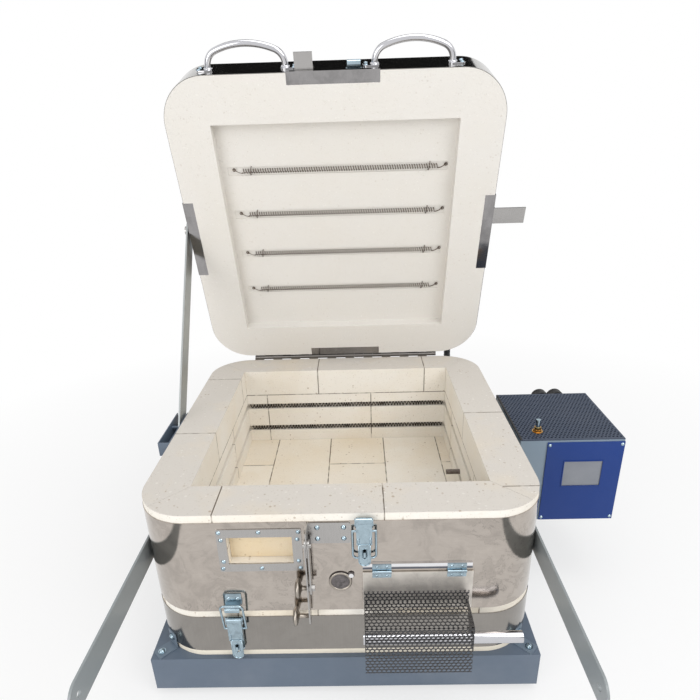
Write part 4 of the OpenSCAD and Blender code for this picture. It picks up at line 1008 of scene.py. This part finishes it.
class KILN_OT_clip_bolts(bpy.types.Operator):
    """Adds the bright bolt heads of the four corner clips on the tray"""

    bl_idname = "kiln.clip_bolts"
    bl_label = "Corner clip bolts"

    def execute(self, context):
        foot = kiln_box("corner_clips")[0][2]
        head = [[0, 0.9], [4.3, 0.9], [4.2, 2.2], [3.1, 3.6], [1.4, 4.2], [0, 4.3]]
        washer = [[0, 0], [5.7, 0], [5.7, 1.1], [0, 1.1]]
        reach = -FRONT - 1 - CORNER
        shapes = []
        for side in ((-1, -1), (-1, 1), (1, -1), (1, 1)):
            side = np.array([*side, 0])
            out = side / math.sqrt(2)
            for away, up, axis in ((CORNER + 22, 1.6, (0, 0, 1)), (CORNER + 2.6, 17.0, out)):
                centre = side * reach + out * away + np.array([0, 0, foot + up])
                shapes += [turned(profile, centre, axis, 20) for profile in (head, washer)]
        sharp(add("clip_bolts", joined(*shapes), "zinc", "base"))
        return {"FINISHED"}


class KILN_OT_small_rims(bpy.types.Operator):
    """Adds the screen's bezel and the peephole cover's rim"""

    bl_idname = "kiln.small_rims"
    bl_label = "Bezel and rim"

    def execute(self, context):
        (x0, _, z0), (x1, _, z1) = kiln_box("screen")
        lip, under = 1.2, 0.4
        bars = [block((a, BEZEL_FRONT, b), (c, BEZEL_BACK, d)) for a, b, c, d in (
            (x0 - lip, z0 - lip, x1 + lip, z0 + under), (x0 - lip, z1 - under, x1 + lip, z1 + lip),
            (x0 - lip, z0, x0 + under, z1), (x1 - under, z0, x1 + lip, z1))]
        bezel = add("screen_bezel", joined(*bars), "blue_paint", "ring", smooth=False, tidy=False)
        rounding = bezel.modifiers.new("rounded edges", "BEVEL")
        rounding.width, rounding.segments = 0.00025, 2
        rounding.limit_method, rounding.angle_limit = "ANGLE", math.radians(40)
        profile = [[12.5, 1.9], [13.6, 2.6], [15.2, 2.7], [15.9, 2.1], [15.9, 0.6], [12.5, 0.6], [12.5, 1.9]]
        rim = turned(profile, (PEEPHOLE_X, FRONT, PEEPHOLE_Z), (0, -1, 0))
        add("peephole_rim", rim, "nickel", "cover", slot="guard_metal")
        return {"FINISHED"}


class KILN_OT_finishes(bpy.types.Operator):
    """Makes every finish and gives one to each part of the frame"""

    bl_idname = "kiln.finishes"
    bl_label = "Finishes"

    def execute(self, context):
        finishes.update(make_finishes(context.scene.kiln_colours))
        slots = {row["node"]: row["material_slot"] for row in frame["record"]["subparts"]}
        for name, piece in nodes.items():
            dress(piece, NODE_FINISH.get(name, slots[name]))
        return {"FINISHED"}


CAMERA_AT, CAMERA_TURN = (33.18, -885.85, 450.48), (23.51, -1.162, -1.73)
FLOOR_HALF = 9.0


class KILN_OT_studio(bpy.types.Operator):
    """Sets up the camera, the pale floor, the white surround and the soft lamps"""

    bl_idname = "kiln.studio"
    bl_label = "Studio and camera"

    def execute(self, context):
        scene = context.scene
        scene.view_settings.view_transform = "Standard"
        self.camera(scene)
        self.surround(scene)
        self.floor()
        self.lamps()
        return {"FINISHED"}

    def camera(self, scene):
        data = bpy.data.cameras.new("camera")
        data.lens, data.sensor_width = 29.03, 36.0
        data.shift_x, data.shift_y = -0.0006, 0.0448
        data.clip_start, data.clip_end = 0.02, 60.0
        pitch, yaw, roll = (math.radians(v) for v in CAMERA_TURN)
        forward = np.array([math.sin(yaw) * math.cos(pitch), math.cos(yaw) * math.cos(pitch), -math.sin(pitch)])
        level = np.cross(forward, [0, 0, 1])
        level /= np.linalg.norm(level)
        upright = np.cross(level, forward)
        right = level * math.cos(roll) + upright * math.sin(roll)
        up = -level * math.sin(roll) + upright * math.cos(roll)
        scene.camera = bpy.data.objects.new("camera", data)
        stand(scene.camera, right, up, -forward, spot(CAMERA_AT))

    def surround(self, scene):
        world = bpy.data.worlds.new("surround")
        world.use_nodes = True
        scene.world = world
        tree = world.node_tree
        back = tree.nodes["Background"]
        back.inputs["Color"].default_value = (1, 1, 1, 1)
        tree.links.new(step(tree, self.seen(tree), 0.0, 1.0, 0.58, 1.0), back.inputs["Strength"])

    def seen(self, tree):
        path = tree.nodes.new("ShaderNodeLightPath")
        seen = sums(tree, "MAXIMUM", path.outputs["Is Camera Ray"], path.outputs["Is Glossy Ray"])
        return sums(tree, "MAXIMUM", seen, path.outputs["Is Transmission Ray"])

    def floor(self):
        corners = np.array([[-1, -1, 0], [1, -1, 0], [1, 1, 0], [-1, 1, 0]])
        floor = mesh_piece("floor", FLOOR_HALF * corners, [[[0, 1, 2, 3]]])
        made, tree, shader, place = new_finish("floor", (0.9, 0.9, 0.9, 1), 0.9, Specular_IOR_Level=0.1)
        glow = put(tree, "ShaderNodeEmission", Color=(1, 1, 1, 1), Strength=1.0)
        far = put(tree, "ShaderNodeVectorMath", {"operation": "LENGTH"}, n0=place).outputs["Value"]
        share = sums(tree, "MULTIPLY", self.seen(tree), step(tree, far, 0.5, 1.5, 0.6, 1.0))
        mix = put(tree, "ShaderNodeMixShader", Fac=share)
        tree.links.new(shader.outputs[0], mix.inputs[1])
        tree.links.new(glow.outputs[0], mix.inputs[2])
        tree.links.new(mix.outputs[0], tree.nodes["Material Output"].inputs["Surface"])
        floor.data.materials.append(made)

    def lamps(self):
        for name, place, aim, size, power in (
            ("key lamp", (1.5, -1.7, 1.9), (0, 0, 0.35), 1.6, 27.0),
            ("fill lamp", (-1.6, -2.1, 0.85), (0, 0, 0.35), 1.8, 26.0),
            ("top lamp", (0.3, -0.3, 2.9), (0, 0, 0.3), 1.6, 18.0),
        ):
            data = bpy.data.lights.new(name, "AREA")
            data.size, data.energy = size, power
            away = np.array(place, float) - np.array(aim, float)
            away /= np.linalg.norm(away)
            right = np.cross([0, 0, 1], away)
            right /= np.linalg.norm(right)
            stand(bpy.data.objects.new(name, data), right, np.cross(away, right), away, place)
        # dark flags that only polished metal mirrors
        for name, corners, grey in (
            ("ceiling flag", ((-1.3, 1.7, 2.6), (1.3, 1.7, 2.6), (1.3, 5.6, 2.6), (-1.3, 5.6, 2.6)), 0.02),
            ("left flag", ((-1.6, -1.0, 0.02), (-1.6, -0.2, 0.02), (-1.6, -0.2, 1.0), (-1.6, -1.0, 1.0)), 0.16),
            ("right flag", ((1.6, -1.0, 0.02), (1.6, -0.2, 0.02), (1.6, -0.2, 1.0), (1.6, -1.0, 1.0)), 0.16),
        ):
            flag = mesh_piece(name, np.array(corners), [[[0, 1, 2, 3]]])
            flag.data.materials.append(new_finish(name, (grey, grey, grey, 1), 1.0, Specular_IOR_Level=0.0)[0])
            flag.visible_camera = flag.visible_diffuse = flag.visible_shadow = flag.visible_transmission = False


PIECES = (
    KILN_OT_conduit, KILN_OT_lid_coils, KILN_OT_bow_handles, KILN_OT_wall_coils, KILN_OT_bead_guard, KILN_OT_vent_cover,
    KILN_OT_latch_levers, KILN_OT_vent_knobs, KILN_OT_clip_bolts, KILN_OT_small_rims,
)


class KILN_PT_panel(bpy.types.Panel):
    """Lists the kiln's sizes, colours and pieces."""

    bl_idname = "KILN_PT_panel"
    bl_label = "Bead annealing kiln"
    bl_space_type = "VIEW_3D"
    bl_region_type = "UI"
    bl_category = "Kiln"

    def draw(self, context):
        box = self.layout.box()
        for group in (context.scene.kiln_sizes, context.scene.kiln_colours):
            for name in group.bl_rna.properties.keys():
                if name not in ("rna_type", "name"):
                    box.prop(group, name)
        for maker in (KILN_OT_studio, KILN_OT_finishes, *PIECES):
            self.layout.operator(maker.bl_idname)


CLASSES = (KilnColours, KilnSizes, KILN_OT_studio, KILN_OT_finishes, *PIECES, KILN_PT_panel)


def register():
    for kind in CLASSES:
        bpy.utils.register_class(kind)
    bpy.types.Scene.kiln_colours = bpy.props.PointerProperty(type=KilnColours)
    bpy.types.Scene.kiln_sizes = bpy.props.PointerProperty(type=KilnSizes)


def unregister():
    del bpy.types.Scene.kiln_sizes
    del bpy.types.Scene.kiln_colours
    for kind in reversed(CLASSES):
        bpy.utils.unregister_class(kind)


def main():
    register()
    bpy.ops.kiln.studio()
    bpy.ops.kiln.finishes()
    bpy.ops.kiln.conduit()
    bpy.ops.kiln.lid_coils()
    bpy.ops.kiln.bow_handles()
    bpy.ops.kiln.wall_coils()
    bpy.ops.kiln.bead_guard()
    bpy.ops.kiln.vent_cover()
    bpy.ops.kiln.latch_levers()
    bpy.ops.kiln.vent_knobs()
    bpy.ops.kiln.clip_bolts()
    bpy.ops.kiln.small_rims()


if __name__ == "__main__":
    main()
